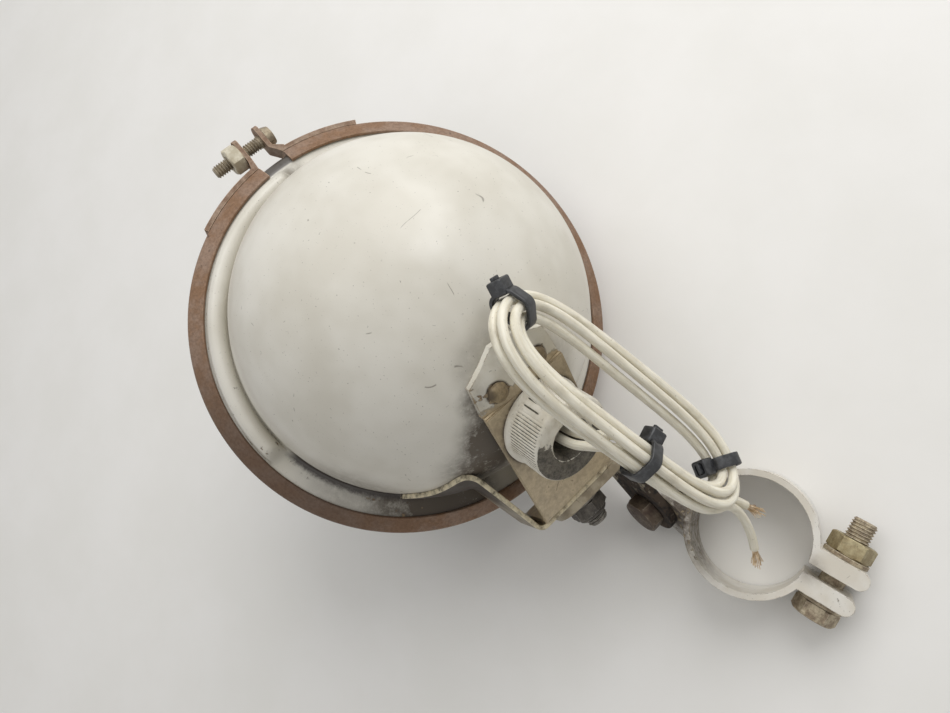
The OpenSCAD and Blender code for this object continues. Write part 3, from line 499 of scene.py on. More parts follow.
def ovalAt(t):
    # The loop's line: x is a cos t and y is b sin t (1 + flat cos^2 t). With it come its outward way and the
    # way that it runs in.
    t = np.radians(t)
    a, b, flat = wires["loopA"], wires["loopB"], wires["loopFlat"]
    swell = 1 + flat * np.cos(t) ** 2
    line = np.stack([a * np.cos(t), b * np.sin(t) * swell, 0 * t], -1)
    way = np.stack([-a * np.sin(t), b * np.cos(t) * (swell - 2 * flat * np.sin(t) ** 2), 0 * t], -1)
    way /= np.linalg.norm(way, axis=-1, keepdims=True)
    return line, np.stack([way[..., 1], -way[..., 0], 0 * t], -1), way


def strandReach(t):
    # How far a strand lies from the loop's line: a little further on the side where the bundle is slack.
    return wires["pitch"] + wires["slack"] * np.maximum(0, np.sin(np.radians(t))) ** 2


def slotAt(t, wire):
    # The angle round the loop's line at which a strand lies, which twists slowly along the coil.
    twist = wires["coilTwist"] * (t - wires["coilFrom"]) / 360
    return wires["firstSlot"] + wires["slotStep"] * wire + twist


def coilPoints(wire):
    t = wires["coilFrom"] + np.arange(wires["coilSteps"] + 1) * 360 / wires["stepsPerTurn"]
    line, out, _ = ovalAt(t)
    slot = np.radians(slotAt(t, wire))[:, None]
    return put(line + strandReach(t)[:, None] * (np.cos(slot) * out + np.sin(slot) * [0, 0, 1]), inLoop)


def smoothPath(points):
    # A Catmull-Rom curve through the points: each stretch is a cubic of the two points before and after it.
    points = np.asarray(points, dtype=float)
    p = np.vstack([2 * points[0] - points[1], points, 2 * points[-1] - points[-2]])
    a, b, c, d = (p[k:len(p) - 3 + k, None] for k in range(4))
    t = (np.arange(wires["finer"]) / wires["finer"])[None, :, None]
    second, third = 2 * a - 5 * b + 4 * c - d, 3 * b - a - 3 * c + d
    curve = 0.5 * (2 * b + (c - a) * t + second * t ** 2 + third * t ** 3)
    return np.vstack([curve.reshape(-1, 3), points[-1:]])


def tubeAlong(path, radius, sides, up):
    # Rings round a path: each one lies square to the path, with its first side set by the up way.
    way = np.gradient(path, axis=0)
    way /= np.linalg.norm(way, axis=1, keepdims=True)
    across = np.cross(way, up)
    across /= np.linalg.norm(across, axis=1, keepdims=True)
    other = np.cross(across, way)
    angle = 2 * np.pi * np.arange(sides)[:, None] / sides
    return path[:, None] + radius * (np.cos(angle) * across[:, None] + np.sin(angle) * other[:, None])


def jacketCoordinates(path, radius, sides):
    # The tube's points as if it were straight: round it in x and y, and along it in z, in mm.
    run = np.concatenate([[0], np.cumsum(np.linalg.norm(np.diff(path, axis=0), axis=1))])
    angle = 2 * np.pi * np.arange(sides) / sides
    grid = np.empty((len(path), sides, 3))
    grid[..., :2] = radius * np.stack([np.cos(angle), np.sin(angle)], -1)
    grid[..., 2] = run[:, None]
    return grid.reshape(-1, 3), run[-1]


def fluoroJacket(name):
    # Satin fluoropolymer wire jacket, extruded over twisted strands: creamy, slightly see-through, with the
    # strands' faint lay showing through and grey handling dirt.
    material, tree, _ = newMaterial(name)
    lay = addNode(tree, "Attribute", out="Vector", attribute_name="jacket")
    long = addNode(tree, "Mapping", {"Vector": lay, "Scale": (1.0, 1.0, 0.08)})
    streak = addNode(tree, "TexNoise", {"Vector": long, "Scale": 1 / 0.7, "Detail": 3.0,
                                        "Distortion": 0.4})
    strands = addNode(tree, "MapRange", [streak, 0.35, 0.65, 0.0, 1.0])
    dirtAndShade = patches(tree, lay, 9.0, 0.5, 0.75, 5.0)
    smear = patches(tree, lay, 1.1, 0.66, 0.72, 3.0)
    colour = layered(tree, "#ebe6d6", [(strands, 1, "#d9d2be"), (dirtAndShade, 0.45, "#a9a08a"),
                                       (smear, 0.4, "#8d836d")])
    rough = addNode(tree, "MapRange", [dirtAndShade, 0.0, 1.0, 0.34, 0.55])
    closeMaterial(tree, weighed(tree, [(streak, 0.05)]), Base_Color=colour, Roughness=rough, IOR=1.38,
                  Subsurface_Weight=0.12, Subsurface_Radius=(1.0, 0.9, 0.7), Subsurface_Scale=0.0012,
                  Sheen_Weight=0.05)
    return material


jacket = fluoroJacket("extruded fluoropolymer jacket")
wireRadius = wires["diameter"] / 2
cords = []
for wire, letter in enumerate("AB"):
    path = smoothPath(np.vstack([wires["leads"][wire], coilPoints(wire), wires["tails"][wire]]))
    straight, length = jacketCoordinates(path, wireRadius, wires["sides"])
    straight += [0, 0, wires["apart"] * wire]   # so that the two don't wear the same dirt
    piece = buildMesh("wire" + letter, [tubeAlong(path, wireRadius, wires["sides"], loopUp)], inHead,
                      attributes={"jacket": straight})
    replaced = ["wire_leads", "wire_coil", "wire_tails"] if wire == 0 else []
    finishPiece(piece, "lamp_head", "wire_cover", jacket, *replaced)
    cords.append({"piece": piece, "path": path, "length": length})
    print("wire", letter, "is", round(length, 1), "mm long")

# The leads inside the housing, from their ring lugs to the boot
innerPaths = [smoothPath(np.array(wires["inner"]) * [1, side, 1]) for side in (-1, 1)]
innerGrids = [tubeAlong(path, wireRadius, wires["innerSides"], loopUp) for path in innerPaths]
innerStraight = [jacketCoordinates(path, wireRadius, wires["innerSides"])[0] for path in innerPaths]
inner = buildMesh("innerLeads", innerGrids, inHead, attributes={"jacket": np.vstack(innerStraight)})
finishPiece(inner, "lamp_head", "wire_cover", jacket, "internal_leads")

# Stripped ends: each strand starts at its place in the wire and splays and curls as it runs out
fray = {"strands": 26, "strand": 0.24, "sides": 6, "core": 0.8, "length": 8.0, "shortest": 0.72,
        "splay": 2.4, "leastSplay": 0.2, "curl": 1.7, "curlTurn": 2.5, "tuck": 0.5, "steps": 16, "seed": 11}
goldenAngle = np.pi * (3 - np.sqrt(5))


def tinnedCopper(name):
    # Thin tinned copper strands: pale metal, with the copper showing where the tin has worn off.
    material, tree, spot = newMaterial(name, inHead)
    tarnish = patches(tree, spot, 1.5, 0.35, 0.6)
    worn = patches(tree, spot, 3.0, 0.55, 0.65)
    colour = layered(tree, "#dccab0", [(tarnish, 1, "#b39a78"), (worn, 1, "#c08a63")])
    closeMaterial(tree, Base_Color=colour, Metallic=1.0, Roughness=0.38)
    return material


def frayedStrands(path, seed):
    # A strand runs straight on from the wire's end, moves outwards with s^1.7 and curls to its side with
    # s^2 sin(turn s), where s goes from 0 to 1 along it.
    chance = np.random.default_rng(seed)
    way = path[-1] - path[-2]
    way /= np.linalg.norm(way)
    across = np.cross(way, loopUp)
    across /= np.linalg.norm(across)
    other = np.cross(way, across)
    s = np.linspace(0, 1, fray["steps"])[:, None]
    grids = []
    for k in range(fray["strands"]):
        angle = k * goldenAngle
        radius = fray["core"] * np.sqrt((k + 0.5) / fray["strands"])
        out = np.cos(angle) * across + np.sin(angle) * other
        side = np.cross(way, out)
        reach = fray["length"] * chance.uniform(fray["shortest"], 1.0)
        bend = chance.uniform(-1, 1) * fray["curl"] * s ** 2 * np.sin(fray["curlTurn"] * s)
        spread = radius * (1 + fray["splay"] * chance.uniform(fray["leastSplay"], 1) * s ** 1.7)
        line = path[-1] + way * (s * reach - fray["tuck"]) + out * spread + side * bend
        grids.append(tubeAlong(line, fray["strand"] / 2, fray["sides"], loopUp + 0.3 * across))
    return grids


strands = [grid for number, cord in enumerate(cords)
           for grid in frayedStrands(cord["path"], fray["seed"] + number)]
copper = buildMesh("copperEnds", strands, inHead)
finishPiece(copper, "lamp_head", "copper", tinnedCopper("tinned copper strands"), "bare_ends")
print("wires ready")

# Cable ties: where each one sits on the loop, and at what angle its moulded head stands
ties = {
    "left": {"at": 168, "head": 260}, "middle": {"at": -79, "head": 120}, "right": {"at": 17, "head": 80},
}
tie = {"width": 3.8, "thickness": 1.1, "fit": 0.65, "strapRound": 0.3, "stepDegrees": 3,
       "headAlong": 5.2, "headAcross": 5.0, "headHigh": 4.2, "headRound": 0.7, "headSunk": 0.3, "draft": 0.9,
       "footEdge": 0.4, "topEdge": 0.35, "window": 0.58, "windowDeep": 1.3, "windowDraft": 0.94,
       "stub": 1.0, "stubDeep": 1.4, "stubWide": 0.8, "stubRound": 0.25, "stubShift": 0.5}


def roundedOutline(width, height, radius, perCorner=5):
    # A rectangle with round corners, as points round its middle.
    angle = np.radians(np.concatenate([np.linspace(90 * k, 90 * k + 90, perCorner) for k in range(4)]))
    signX = np.repeat([1, -1, -1, 1], perCorner)
    signY = np.repeat([1, 1, -1, -1], perCorner)
    return np.stack([signX * (width / 2 - radius) + radius * np.cos(angle),
                     signY * (height / 2 - radius) + radius * np.sin(angle)], -1)


def strandsAt(t):
    # Where the strands cross the loop's section at angle t: x is below the loop and y is towards its inside.
    turns = t + 360 * np.arange(3)
    turns = turns[(turns >= wires["coilFrom"]) & (turns <= coilEnd)]
    slots = np.radians(np.concatenate([slotAt(turns, wire) for wire in (0, 1)]))
    return -strandReach(t) * np.stack([np.sin(slots), np.cos(slots)], -1)


def tieGrids(t, headAt):
    # The strap is the strands' outline, pushed out by its fit; a rounded section is carried round it. The
    # head is a rounded block with drafted sides and a window, and the strap's cut end stands out of it.
    strands = strandsAt(t)
    angle = np.radians(np.arange(0, 360, tie["stepDegrees"]))
    out = np.stack([np.cos(angle), np.sin(angle)], -1)
    edge = strands[np.argmax(out @ strands.T, axis=1)] + out * (wireRadius + tie["fit"])
    section = roundedOutline(tie["thickness"], tie["width"], tie["strapRound"])
    strap = np.empty((len(angle), len(section), 3))
    strap[..., :2] = edge[:, None] + out[:, None] * (section[None, :, :1] + tie["thickness"] / 2)
    strap[..., 2] = section[None, :, 1]
    turn = np.radians(headAt)
    up = np.array([np.cos(turn), np.sin(turn)])
    base = np.max(strands @ up) + wireRadius + tie["fit"] - tie["headSunk"]
    top = base + tie["headHigh"] + tie["headSunk"]
    levels = [(base, tie["draft"]), (base + tie["footEdge"], 1), (top - tie["topEdge"], 1),
              (top, tie["draft"]), (top, tie["window"]),
              (top - tie["windowDeep"], tie["window"] * tie["windowDraft"])]
    head = roundedOutline(tie["headAcross"], tie["headAlong"], tie["headRound"])
    stub = roundedOutline(tie["thickness"], tie["width"] * tie["stubWide"], tie["stubRound"])
    blocks = [[np.column_stack([head * scale, np.full(len(head), level)]) for level, scale in levels],
              [np.column_stack([stub + [tie["stubShift"], 0], np.full(len(stub), level)])
               for level in (top - tie["stubDeep"], top + tie["stub"])]]
    grids = [strap]
    for block in map(np.array, blocks):
        stood = np.empty_like(block)
        stood[..., :2] = block[..., 2:] * up + block[..., :1] * [-up[1], up[0]]
        stood[..., 2] = block[..., 1]
        grids.append(stood)
    return grids


# Black nylon, injection moulded: a dull satin face with fine mould grain and dusty grey scuffs
nylon = cloudedFinish("moulded black nylon", {
    "clean": "#1d1e20", "dull": "#3c3d3f", "cloud": (1.6, 0.42, 0.7, 5.0), "rough": (0.32, 0.5),
    "relief": (0.35, 2.0, 0.02), "shader": {"IOR": 1.53}})
tiePieces = []
for side, values in ties.items():
    line, _, way = ovalAt(np.array(float(values["at"])))
    lean = np.degrees(np.arctan2(way[1], way[0]))
    place = inHead @ inLoop @ moved(*line) @ turned("z", lean) @ turned("y", 90)
    grids = tieGrids(values["at"], values["head"])
    strap = buildMesh("tieStrap_" + side, grids[:1], place, along=True)
    head = addRounding(buildMesh("tieHead_" + side, grids[1:], place, sharp=50), 0.3, 30, harden=False)
    finishPiece(strap, "lamp_head", "tie_nylon", nylon, "loop_tie_" + side)
    finishPiece(head, "lamp_head", "tie_nylon", nylon)
    tiePieces += [strap, head]

for number, cord in enumerate(cords):
    path = put(cord["path"], inHead) / 1000
print("ties ready")


# Round sections and lathe shapes
def softened(corners, radii, steps=5):
    # Each corner of a closed outline becomes a short curve that starts and ends its radius away from it.
    corners = np.asarray(corners, dtype=float)
    radii = np.broadcast_to(np.asarray(radii, dtype=float), len(corners))[:, None]
    before = np.roll(corners, 1, axis=0) - corners
    after = np.roll(corners, -1, axis=0) - corners
    a = corners + radii * before / np.linalg.norm(before, axis=1, keepdims=True)
    b = corners + radii * after / np.linalg.norm(after, axis=1, keepdims=True)
    t = np.linspace(0, 1, steps)[None, :, None]
    curve = (1 - t) ** 2 * a[:, None] + 2 * t * (1 - t) * corners[:, None] + t ** 2 * b[:, None]
    return curve.reshape(-1, 2)


def lathed(radius, height, angle):
    # Points of a lathe shape: radius and height may change with the angle, rows run along the outline.
    radius, height, angle = np.broadcast_arrays(radius, height, angle)
    return np.stack([radius * np.cos(angle), radius * np.sin(angle), height], -1)


def circleSteps(count):
    return 2 * np.pi * np.arange(count)[None, :] / count


def spun(outline, count):
    # A plain lathe shape of an outline of (radius, height) points.
    radius, height = np.array(outline, dtype=float).T[..., None]
    return lathed(radius, height, circleSteps(count))


def hexRadius(flats, angle):
    return flats / 2 / np.cos(angle % (np.pi / 3) - np.pi / 6)


thread = {"deep": 0.6, "steep": 1.2, "flat": 0.1}


def threadRadius(radius, pitch, height, angle):
    # A V thread: the crest runs round once for each pitch of height. Its depth is a triangle wave, cut flat
    # at the crest and at the root.
    phase = (height / pitch - angle / 2 / np.pi) % 1
    flank = np.clip(thread["steep"] * (1 - np.abs(2 * phase - 1)) - thread["flat"], 0, 1)
    return radius - thread["deep"] * pitch * flank


def cutHoles(piece, cutters):
    for cutter in cutters:
        cut = piece.modifiers.new("hole", "BOOLEAN")
        cut.operation = "DIFFERENCE"
        cut.solver = "EXACT"
        cut.object = cutter
    finished = bpy.data.meshes.new_from_object(piece.evaluated_get(bpy.context.evaluated_depsgraph_get()))
    piece.modifiers.clear()
    piece.data = finished
    for cutter in cutters:
        bpy.data.objects.remove(cutter)
    return piece


def plug(name, radius, place):
    # What cuts a hole: a cylinder from 12 mm below its place to 8 mm above it.
    return buildMesh(name, [spun([(radius, -12), (radius, 8)], 48)], place)


# Housing: one spun profile, with the two raised beads as half rounds that run out at their ends
housing = {"wall": 1.2, "rim": [(74.2, 0), (73.4, 0.75), (72.3, 1.55), (71, 2.1), (70.5, 2.2)],
           "rimHigh": 2.2, "valley": [(62.6, 2.75), (62.2, 3.7), (61.95, 4.8)],
           "domeFrom": 6, "domeTo": 89.6,
           "beadIn": 63.0, "beadOut": 69.9, "beadHigh": 5.0, "beadFull": 0.9, "beadSweep": 95,
           "beadRunOut": 5.5, "flatRows": 17, "domeRows": 58, "columns": 360, "neckHole": 9.1,
           "rivetHole": 1.65}


def housingGrid():
    # Rim, flat, valley, and then a dome with radius R cos(a) and height rise + R sin(a). On the flat the
    # beads add sqrt(1 - x^2), raised to how full they are, times a smooth step that runs out past each end.
    rise, sphere = light["domeRise"], light["domeRadius"]
    flat = [(radius, housing["rimHigh"])
            for radius in np.linspace(housing["beadOut"], housing["beadIn"], housing["flatRows"])]
    lowest = np.arcsin((housing["domeFrom"] - rise) / sphere)
    climb = np.linspace(lowest, np.radians(housing["domeTo"]), housing["domeRows"])
    dome = np.column_stack([sphere * np.cos(climb), rise + sphere * np.sin(climb)])
    radius, height = np.vstack([housing["rim"], flat, housing["valley"], dome]).T[..., None]
    angle = circleSteps(housing["columns"])
    middle = (housing["beadIn"] + housing["beadOut"]) / 2
    across = (radius - middle) / (housing["beadOut"] - middle)
    half = housing["beadSweep"] / 2
    away = np.abs((np.degrees(angle) - half + 90) % 180 - 90) - half
    past = np.clip(np.radians(away) * middle / housing["beadRunOut"] + 0.5, 0, 1)
    swell = np.sqrt(np.clip(1 - across ** 2, 0, 1)) ** housing["beadFull"]
    swell = swell * (1 - past ** 2 * (3 - 2 * past))
    return lathed(radius, height + housing["beadHigh"] * swell, angle)


shell = buildMesh("spunHousing", [housingGrid()], inHead, caps="end", sharp=60)
wall = shell.modifiers.new("wall", "SOLIDIFY")
wall.thickness = housing["wall"] / 1000
wall.offset = -1
rivetSides = (-light["rivetSide"], light["rivetSide"])
cutHoles(shell, [plug("neckHole", housing["neckHole"], onPlate(light["bootAlong"]))]
         + [plug("rivetHole", housing["rivetHole"], onDome(light["rivetAlong"], side))
            for side in rivetSides])

# Spots that dirt, painted shade and wear gather round, each (point, inner radius, outer radius, strength) in
# mm of the head
plateMiddle = headSpot(onPlate(8))
plateCorner = headSpot(onPlate(-8), (0, -15, 1))
bootFoot = headSpot(onPlate(light["bootAlong"]), (0, 0, 2))
rivetSpots = [headSpot(onDome(light["rivetAlong"], side), (0, 0, 2)) for side in rivetSides]
shadeAndGrimeBesidePlate = [(headSpot(onPlate(along), (0, side, deep)), inner, outer, strength)
               for along, side, deep, inner, outer, strength in (
                   (8, -17, -1, 2, 12, 0.9), (23, -18, -8, 4, 21, 1.25), (-5, -14, 0, 3, 8, 0.6),
                   (-14, -6, 0, 6, 13, 0.3))]
housingEnamel = sprayedEnamel("sprayed white enamel on spun steel", inHead, {
    "paint": "#d9d5ca", "aged": "#cbc6b9", "grimeAndShade": "#4f4538", "primer": "#a38f70", "bare": "#5b4334",
    "ringDarkColour": "#2a211a", "cloud": 34.0, "chip": 3.5, "edge": 0.6, "edgeWear": 0.13, "rough": 0.3,
    "coat": 0.12,
    # the first ring is a painted shadow in the gap under the band's edge; the second darkens the flat and
    # the valley at the dome's foot where the bead has ended
    "rings": [{"radius": (70.2, 71.0), "ragged": 0.0, "strength": 0.92},
              {"radius": (67.4, 65.2), "ragged": 3.2, "strength": 0.95, "turn": (-85, -79, -34, -26),
               "height": (4.5, 11)}],
    # round and beside the plate the dark is painted shadow with grime in it; the spots by the brace's foot
    # and on the rim next to it are painted shadow
    "dirtyAndShaded": [(plateMiddle, 17.0, 26.0, 0.35), *shadeAndGrimeBesidePlate, ((30, -54, 14), 6.0, 26.0, 0.6),
              ((52, -44, 4), 6.0, 22.0, 0.9), ((60, -30, 3), 8.0, 20.0, 1.4), ((-66, 2, 4), 1.0, 8.0, 0.7)],
    "chipped": [((8, -68, 4), 4.0, 24.0, 0.1), ((-54, 46, 3), 3.0, 30.0, 0.1),
                ((-66, 4, 4), 1.0, 6.0, 0.13), ((45, -52, 3), 6.0, 28.0, 0.1)]})
finishPiece(shell, "lamp_head", "white_paint", housingEnamel, "housing")
print("housing ready")

# V band: a folded strip with round bends, open at the gap; its edges wander a little from handling
band = {"thickness": 1.2, "legRun": 5.5, "legRise": 3.8, "bend": 1.3, "innerBend": 0.91, "edge": 0.4,
        "steps": 260, "wander": 0.12, "waves": 5, "ripples": 13, "rippleShare": 0.6, "legShare": 0.6}


def bandGrid():
    # A V section of even thickness, swept round the lamp, whose legs drift up and down by two sine waves.
    outer, width = light["bandRadius"], light["bandWidth"]
    lean = np.arctan(band["legRise"] / band["legRun"])
    root = -band["thickness"] * (np.cos(lean) - (1 - np.sin(lean)) * np.tan(lean))
    tip = np.array([outer - band["legRun"], band["legRise"]])
    innerTip = tip - band["thickness"] * np.array([np.sin(lean), np.cos(lean)])
    innerRoot = np.array([outer - band["thickness"], root])
    upper = np.array([[outer, 0], tip, innerTip, innerRoot])
    lower = (upper * [1, -1] - [0, width])[::-1]
    radii = [band["bend"], band["edge"], band["edge"], band["innerBend"]]
    section = softened(np.vstack([upper, lower]), radii + radii[::-1])
    halfGap = np.arcsin(light["bandGap"] / 2 / outer)
    angle = np.linspace(np.pi + halfGap, 3 * np.pi - halfGap, band["steps"])[:, None]
    wave, ripple = np.sin(band["waves"] * angle), np.sin(band["ripples"] * angle + 1)
    drift = band["wander"] * (wave + band["rippleShare"] * ripple) / (1 + band["rippleShare"])
    radius, height = section.T[:, None]
    return lathed(radius, height + drift * (outer - radius) / band["legRun"] * band["legShare"], angle)


# its stained spot darkens the band's lower side: partly darker rust, partly painted shade
rustLook = {"base": "#846449", "dust": "#927a68", "pit": "#4b3a2e", "rubbed": "#c4ab90", "patch": 12.0,
            "edge": 0.4, "metallic": 0.1, "rough": 0.62, "stained": [((14, -76, -4), 16.0, 70.0, 0.7)]}
rustyBand = agedSteel("rusted spring steel strip", inHead, rustLook)
finishPiece(buildMesh("vBand", [bandGrid()], inHead), "lamp_head", "rusted_band", rustyBand, "v_band")
lugLook = {**rustLook, "base": "#836853", "dust": "#a18b78", "patch": 6.0}
lugRust = agedSteel("rusted steel lug", inHead, lugLook)
for side in ("nut", "head"):
    node = "band_lug_" + side + "_side"
    finishPiece(workedCopy(side + "SideLug", node, 0.35), "lamp_head", "rusted_band", lugRust, node)

# Screws and nuts: heights in mm along each screw from under its head
hexBolt = {"radius": light["boltWidth"] / 2, "pitch": light["boltPitch"], "flats": light["boltFlats"],
           "headHigh": light["headHigh"]}
bandScrew = {"radius": 2.4, "pitch": 1.0, "thread": 2.5, "length": 22.15, "out": 8.5, "headAt": -4.15,
             "nutAt": 6.75, "nutFlats": 9.5, "nutHigh": 5.0,
             "head": [(-3.2, 2.6, 0), (-3.0, 3.3, 0), (-1.2, 3.95, 0), (-0.15, 4.1, 0), (0, 3.9, 0)]}
lugFace, clampFace = light["lugFace"], light["clampFace"]
washerFace = light["washerThickness"] + light["seat"]
underPlate = light["flangeX"] - light["plateThickness"] - light["seat"]
linkX = light["flangeX"] + light["seat"] / 2 + light["braceThickness"] + light["seat"]
lockNutX = linkX + light["linkThickness"] + washerFace + light["seat"]
# The clamp's washer stands clear of the ring
washerRadius = light["boltWidth"] * 0.9 + 0.1
clampBoltX = np.sqrt(light["ringRadius"] ** 2 - clampFace ** 2) + washerRadius + light["washerClear"]
onBandScrew = (inHead @ turned("z", 180)
               @ moved(light["bandRadius"] + bandScrew["out"], 0, -light["bandWidth"] / 2)
               @ turned("x", -90))


def onClampBolt(y):
    return moved(clampBoltX, y, 0) @ turned("x", -90)


def onPivotBolt(y):
    return inLink @ moved(0, y, 0) @ turned("x", -90)


def hexHeadRows(flats, high):
    # A hexagonal head: the top edge is cut by a cone, and a small step stands under it.
    corner = flats / np.sqrt(3)
    return [(-high, corner - 1.25, flats), (-high + 0.2, corner - 0.85, flats),
            (-high + 1.1, corner + 1, flats), (-0.5, corner + 1, flats), (-0.3, corner - 0.5, flats),
            (0, flats / 2 - 0.3, 0)]


def screwGrid(look, columns=72):
    # Each head row is the lesser of a circle and a hexagon; the shaft is plain, then threaded, then pointed.
    angle = circleSteps(columns)
    rows = look.get("head") or hexHeadRows(look["flats"], look["headHigh"])
    heads = [np.minimum(circle, hexRadius(flats, angle)) if flats else circle + 0 * angle
             for _, circle, flats in rows]
    plain = np.linspace(0, look["thread"], 6)
    threaded = np.arange(look["thread"], look["length"], look["pitch"] / 8)
    shaft = np.concatenate([plain, threaded, [look["length"]]])[:, None]
    cut = threadRadius(look["radius"], look["pitch"], shaft, angle)
    fade = np.clip((shaft - look["thread"]) / look["pitch"], 0, 1)
    point = look["radius"] - 0.7 + 0.8 * (look["length"] - shaft)
    shaftRadius = np.minimum(look["radius"] * (1 - fade) + cut * fade, point)
    height = np.concatenate([[row[0] for row in rows], shaft[:, 0]])[:, None]
    return lathed(np.vstack(heads + [shaftRadius]), height, angle)


def nutGrid(flats, high, bore, collar=0, columns=72):
    # A nut: the hexagon is cut by a cone at each end, a collar is the round part above it.
    angle = circleSteps(columns)
    corner, half, top = flats / np.sqrt(3), flats / 2, high - collar
    rows = [(0, corner - 0.95, True), (0.5, corner + 1, True), (top - 0.5, corner + 1, True),
            (top, corner - 0.95, True)]
    if collar:
        rows += [(top + 0.02, half - 0.6, False), (high - 0.7, half - 0.7, False),
                 (high - 0.15, half - 1.3, False), (high, half - 1.9, False)]
    rows += [(high, bore + 0.5, False), (high - 0.5, bore, False), (0.5, bore, False),
             (0, bore + 0.5, False)]
    radius = np.vstack([np.minimum(circle, hexRadius(flats, angle)) if six else circle + 0 * angle
                        for _, circle, six in rows])
    return lathed(radius, np.array([row[0] for row in rows])[:, None], angle)


# a painted shade on the lower left side of one rivet head
rivetShadedSide = headSpot(onDome(light["rivetAlong"], -light["rivetSide"]), (-1.4, -2.6, 2.4))
steelLooks = {
    "dull plated screw steel": {
        "place": inHead, "base": "#857a68", "dust": "#a0947e", "pit": "#4b3d30", "rubbed": "#cfc6b4",
        "patch": 3.5, "edge": 0.25, "metallic": 0.6, "rough": 0.45},
    "stained plated bolt steel": {
        "place": inClamp, "base": "#8b7b66", "dust": "#c0b399", "pit": "#362a1f", "rubbed": "#ddd3be",
        "patch": 3.0, "edge": 0.3, "metallic": 0.4, "rough": 0.52},
    "rusty bolt steel": {
        "place": inLink, "base": "#43342a", "dust": "#65594b", "pit": "#1d1510", "rubbed": "#9d9180",
        "patch": 6.0, "edge": 0.5, "metallic": 0.55, "rough": 0.4},
    "dull zinc plated bolt": {
        "place": inHead, "base": "#6d6962", "dust": "#858076", "pit": "#38332e", "rubbed": "#b9b4ab",
        "patch": 5.0, "edge": 0.3, "metallic": 0.6, "rough": 0.45},
    "yellow chromate plating": {
        "place": inClamp, "base": "#938463", "dust": "#a99d7c", "pit": "#4f432c", "rubbed": "#d8cda6",
        "patch": 4.0, "edge": 0.35, "metallic": 0.5, "rough": 0.4},
    "tarnished rivet metal": {
        "place": inHead, "base": "#84735a", "dust": "#978667", "pit": "#4d4130", "rubbed": "#bdb195",
        "patch": 4.0, "edge": 0.5, "metallic": 0.3, "rough": 0.5, "stained": [(rivetShadedSide, 1.0, 2.9, 0.9)]},
    "grey plated lock nut": {
        "place": inHead, "base": "#45413c", "dust": "#5c5750", "pit": "#241f1b", "rubbed": "#a09c92",
        "patch": 4.0, "edge": 0.35, "metallic": 0.6, "rough": 0.45},
}
steels = {name: agedSteel(name, look["place"], look) for name, look in steelLooks.items()}
creamNut = sprayedEnamel("cream overspray on a steel nut", inHead, {
    "paint": "#cbc4b0", "aged": "#b0a68f", "grimeAndShade": "#5c5142", "primer": "#8c7c62", "bare": "#4b3a2c",
    "cloud": 3.0, "chip": 2.2, "edge": 0.4, "edgeWear": 0.2, "rough": 0.5, "coat": 0.0,
    "dirtyAndShaded": [((-85, 10, -4.5), 0.5, 8.0, 0.5)], "chipped": []})

# Each fastener: its node, body, slot and finish, then where it stands and its sizes, unless it is a washer
plainNut = (light["boltFlats"], light["nutHigh"], light["boltWidth"] / 2 + light["seat"])
lockNut = (light["boltFlats"], light["lockNutHigh"], plainNut[2], light["lockNutCollar"])
bandNut = (bandScrew["nutFlats"], bandScrew["nutHigh"], bandScrew["radius"] + light["seat"])
screwSteel, boltSteel, rustySteel, zincSteel, yellowPlate, rivetMetal, lockNutSteel = steels.values()
screws = {
    "bandScrew": ("band_screw", "lamp_head", "dull_steel", screwSteel,
                  onBandScrew @ moved(0, 0, bandScrew["headAt"]), bandScrew),
    "clampBolt": ("clamp_bolt", "strut_clamp", "dull_steel", boltSteel,
                  onClampBolt(-clampFace - washerFace - light["seat"]),
                  {**hexBolt, "thread": 20.0, "length": 30.7}),
    "pivotBolt": ("pivot_bolt", "link", "rusty_bolt", rustySteel,
                  onPivotBolt(-lugFace - light["linkThickness"] - light["seat"]),
                  {**hexBolt, "thread": 9.0, "length": 16.45}),
    "flangeBolt": ("flange_bolt", "lamp_head", "dull_steel", zincSteel,
                   onFlangeBolt(underPlate), {**hexBolt, "thread": 8.0, "length": 17.7}),
}
nuts = {
    "bandNut": ("band_nut", "lamp_head", "cream_nut", creamNut,
                onBandScrew @ moved(0, 0, bandScrew["nutAt"]), bandNut),
    "clampNut": ("clamp_nut", "strut_clamp", "yellow_plate", yellowPlate,
                 onClampBolt(clampFace + washerFace + light["seat"]), plainNut),
    "pivotNut": ("pivot_nut", "link", "rusty_bolt", rustySteel, onPivotBolt(lugFace + washerFace), plainNut),
    "flangeLockNut": ("flange_lock_nut", "lamp_head", "dull_steel", lockNutSteel,
                      onFlangeBolt(lockNutX), lockNut),
}
washers = {
    "clampWashers": ("clamp_washers", "strut_clamp", "dull_steel", boltSteel),
    "flangeWasher": ("flange_washer", "lamp_head", "dull_steel", zincSteel),
    "pivotWasher": ("pivot_washer", "link", "rusty_bolt", rustySteel),
}
for name, (node, body, slot, material, place, look) in screws.items():
    finishPiece(addRounding(buildMesh(name, [screwGrid(look)], place), 0.12), body, slot, material, node)
for name, (node, body, slot, material, place, size) in nuts.items():
    nut = buildMesh(name, [nutGrid(*size)], place, along=True)
    finishPiece(addRounding(nut, 0.15), body, slot, material, node)
for name, (node, body, slot, material) in washers.items():
    finishPiece(workedCopy(name, node, 0.2), body, slot, material, node)
print("band, screws and nuts ready")

# Rivets: a hammered dome with a flat facet on top, over a straight shank
rivet = {"radius": 3.2, "high": 2.2, "facet": 2.02, "slant": 0.12, "lean": 2.4, "shank": 1.6,
         "deep": -3.0, "uneven": (0.03, 0.02), "rows": 18, "columns": 56}


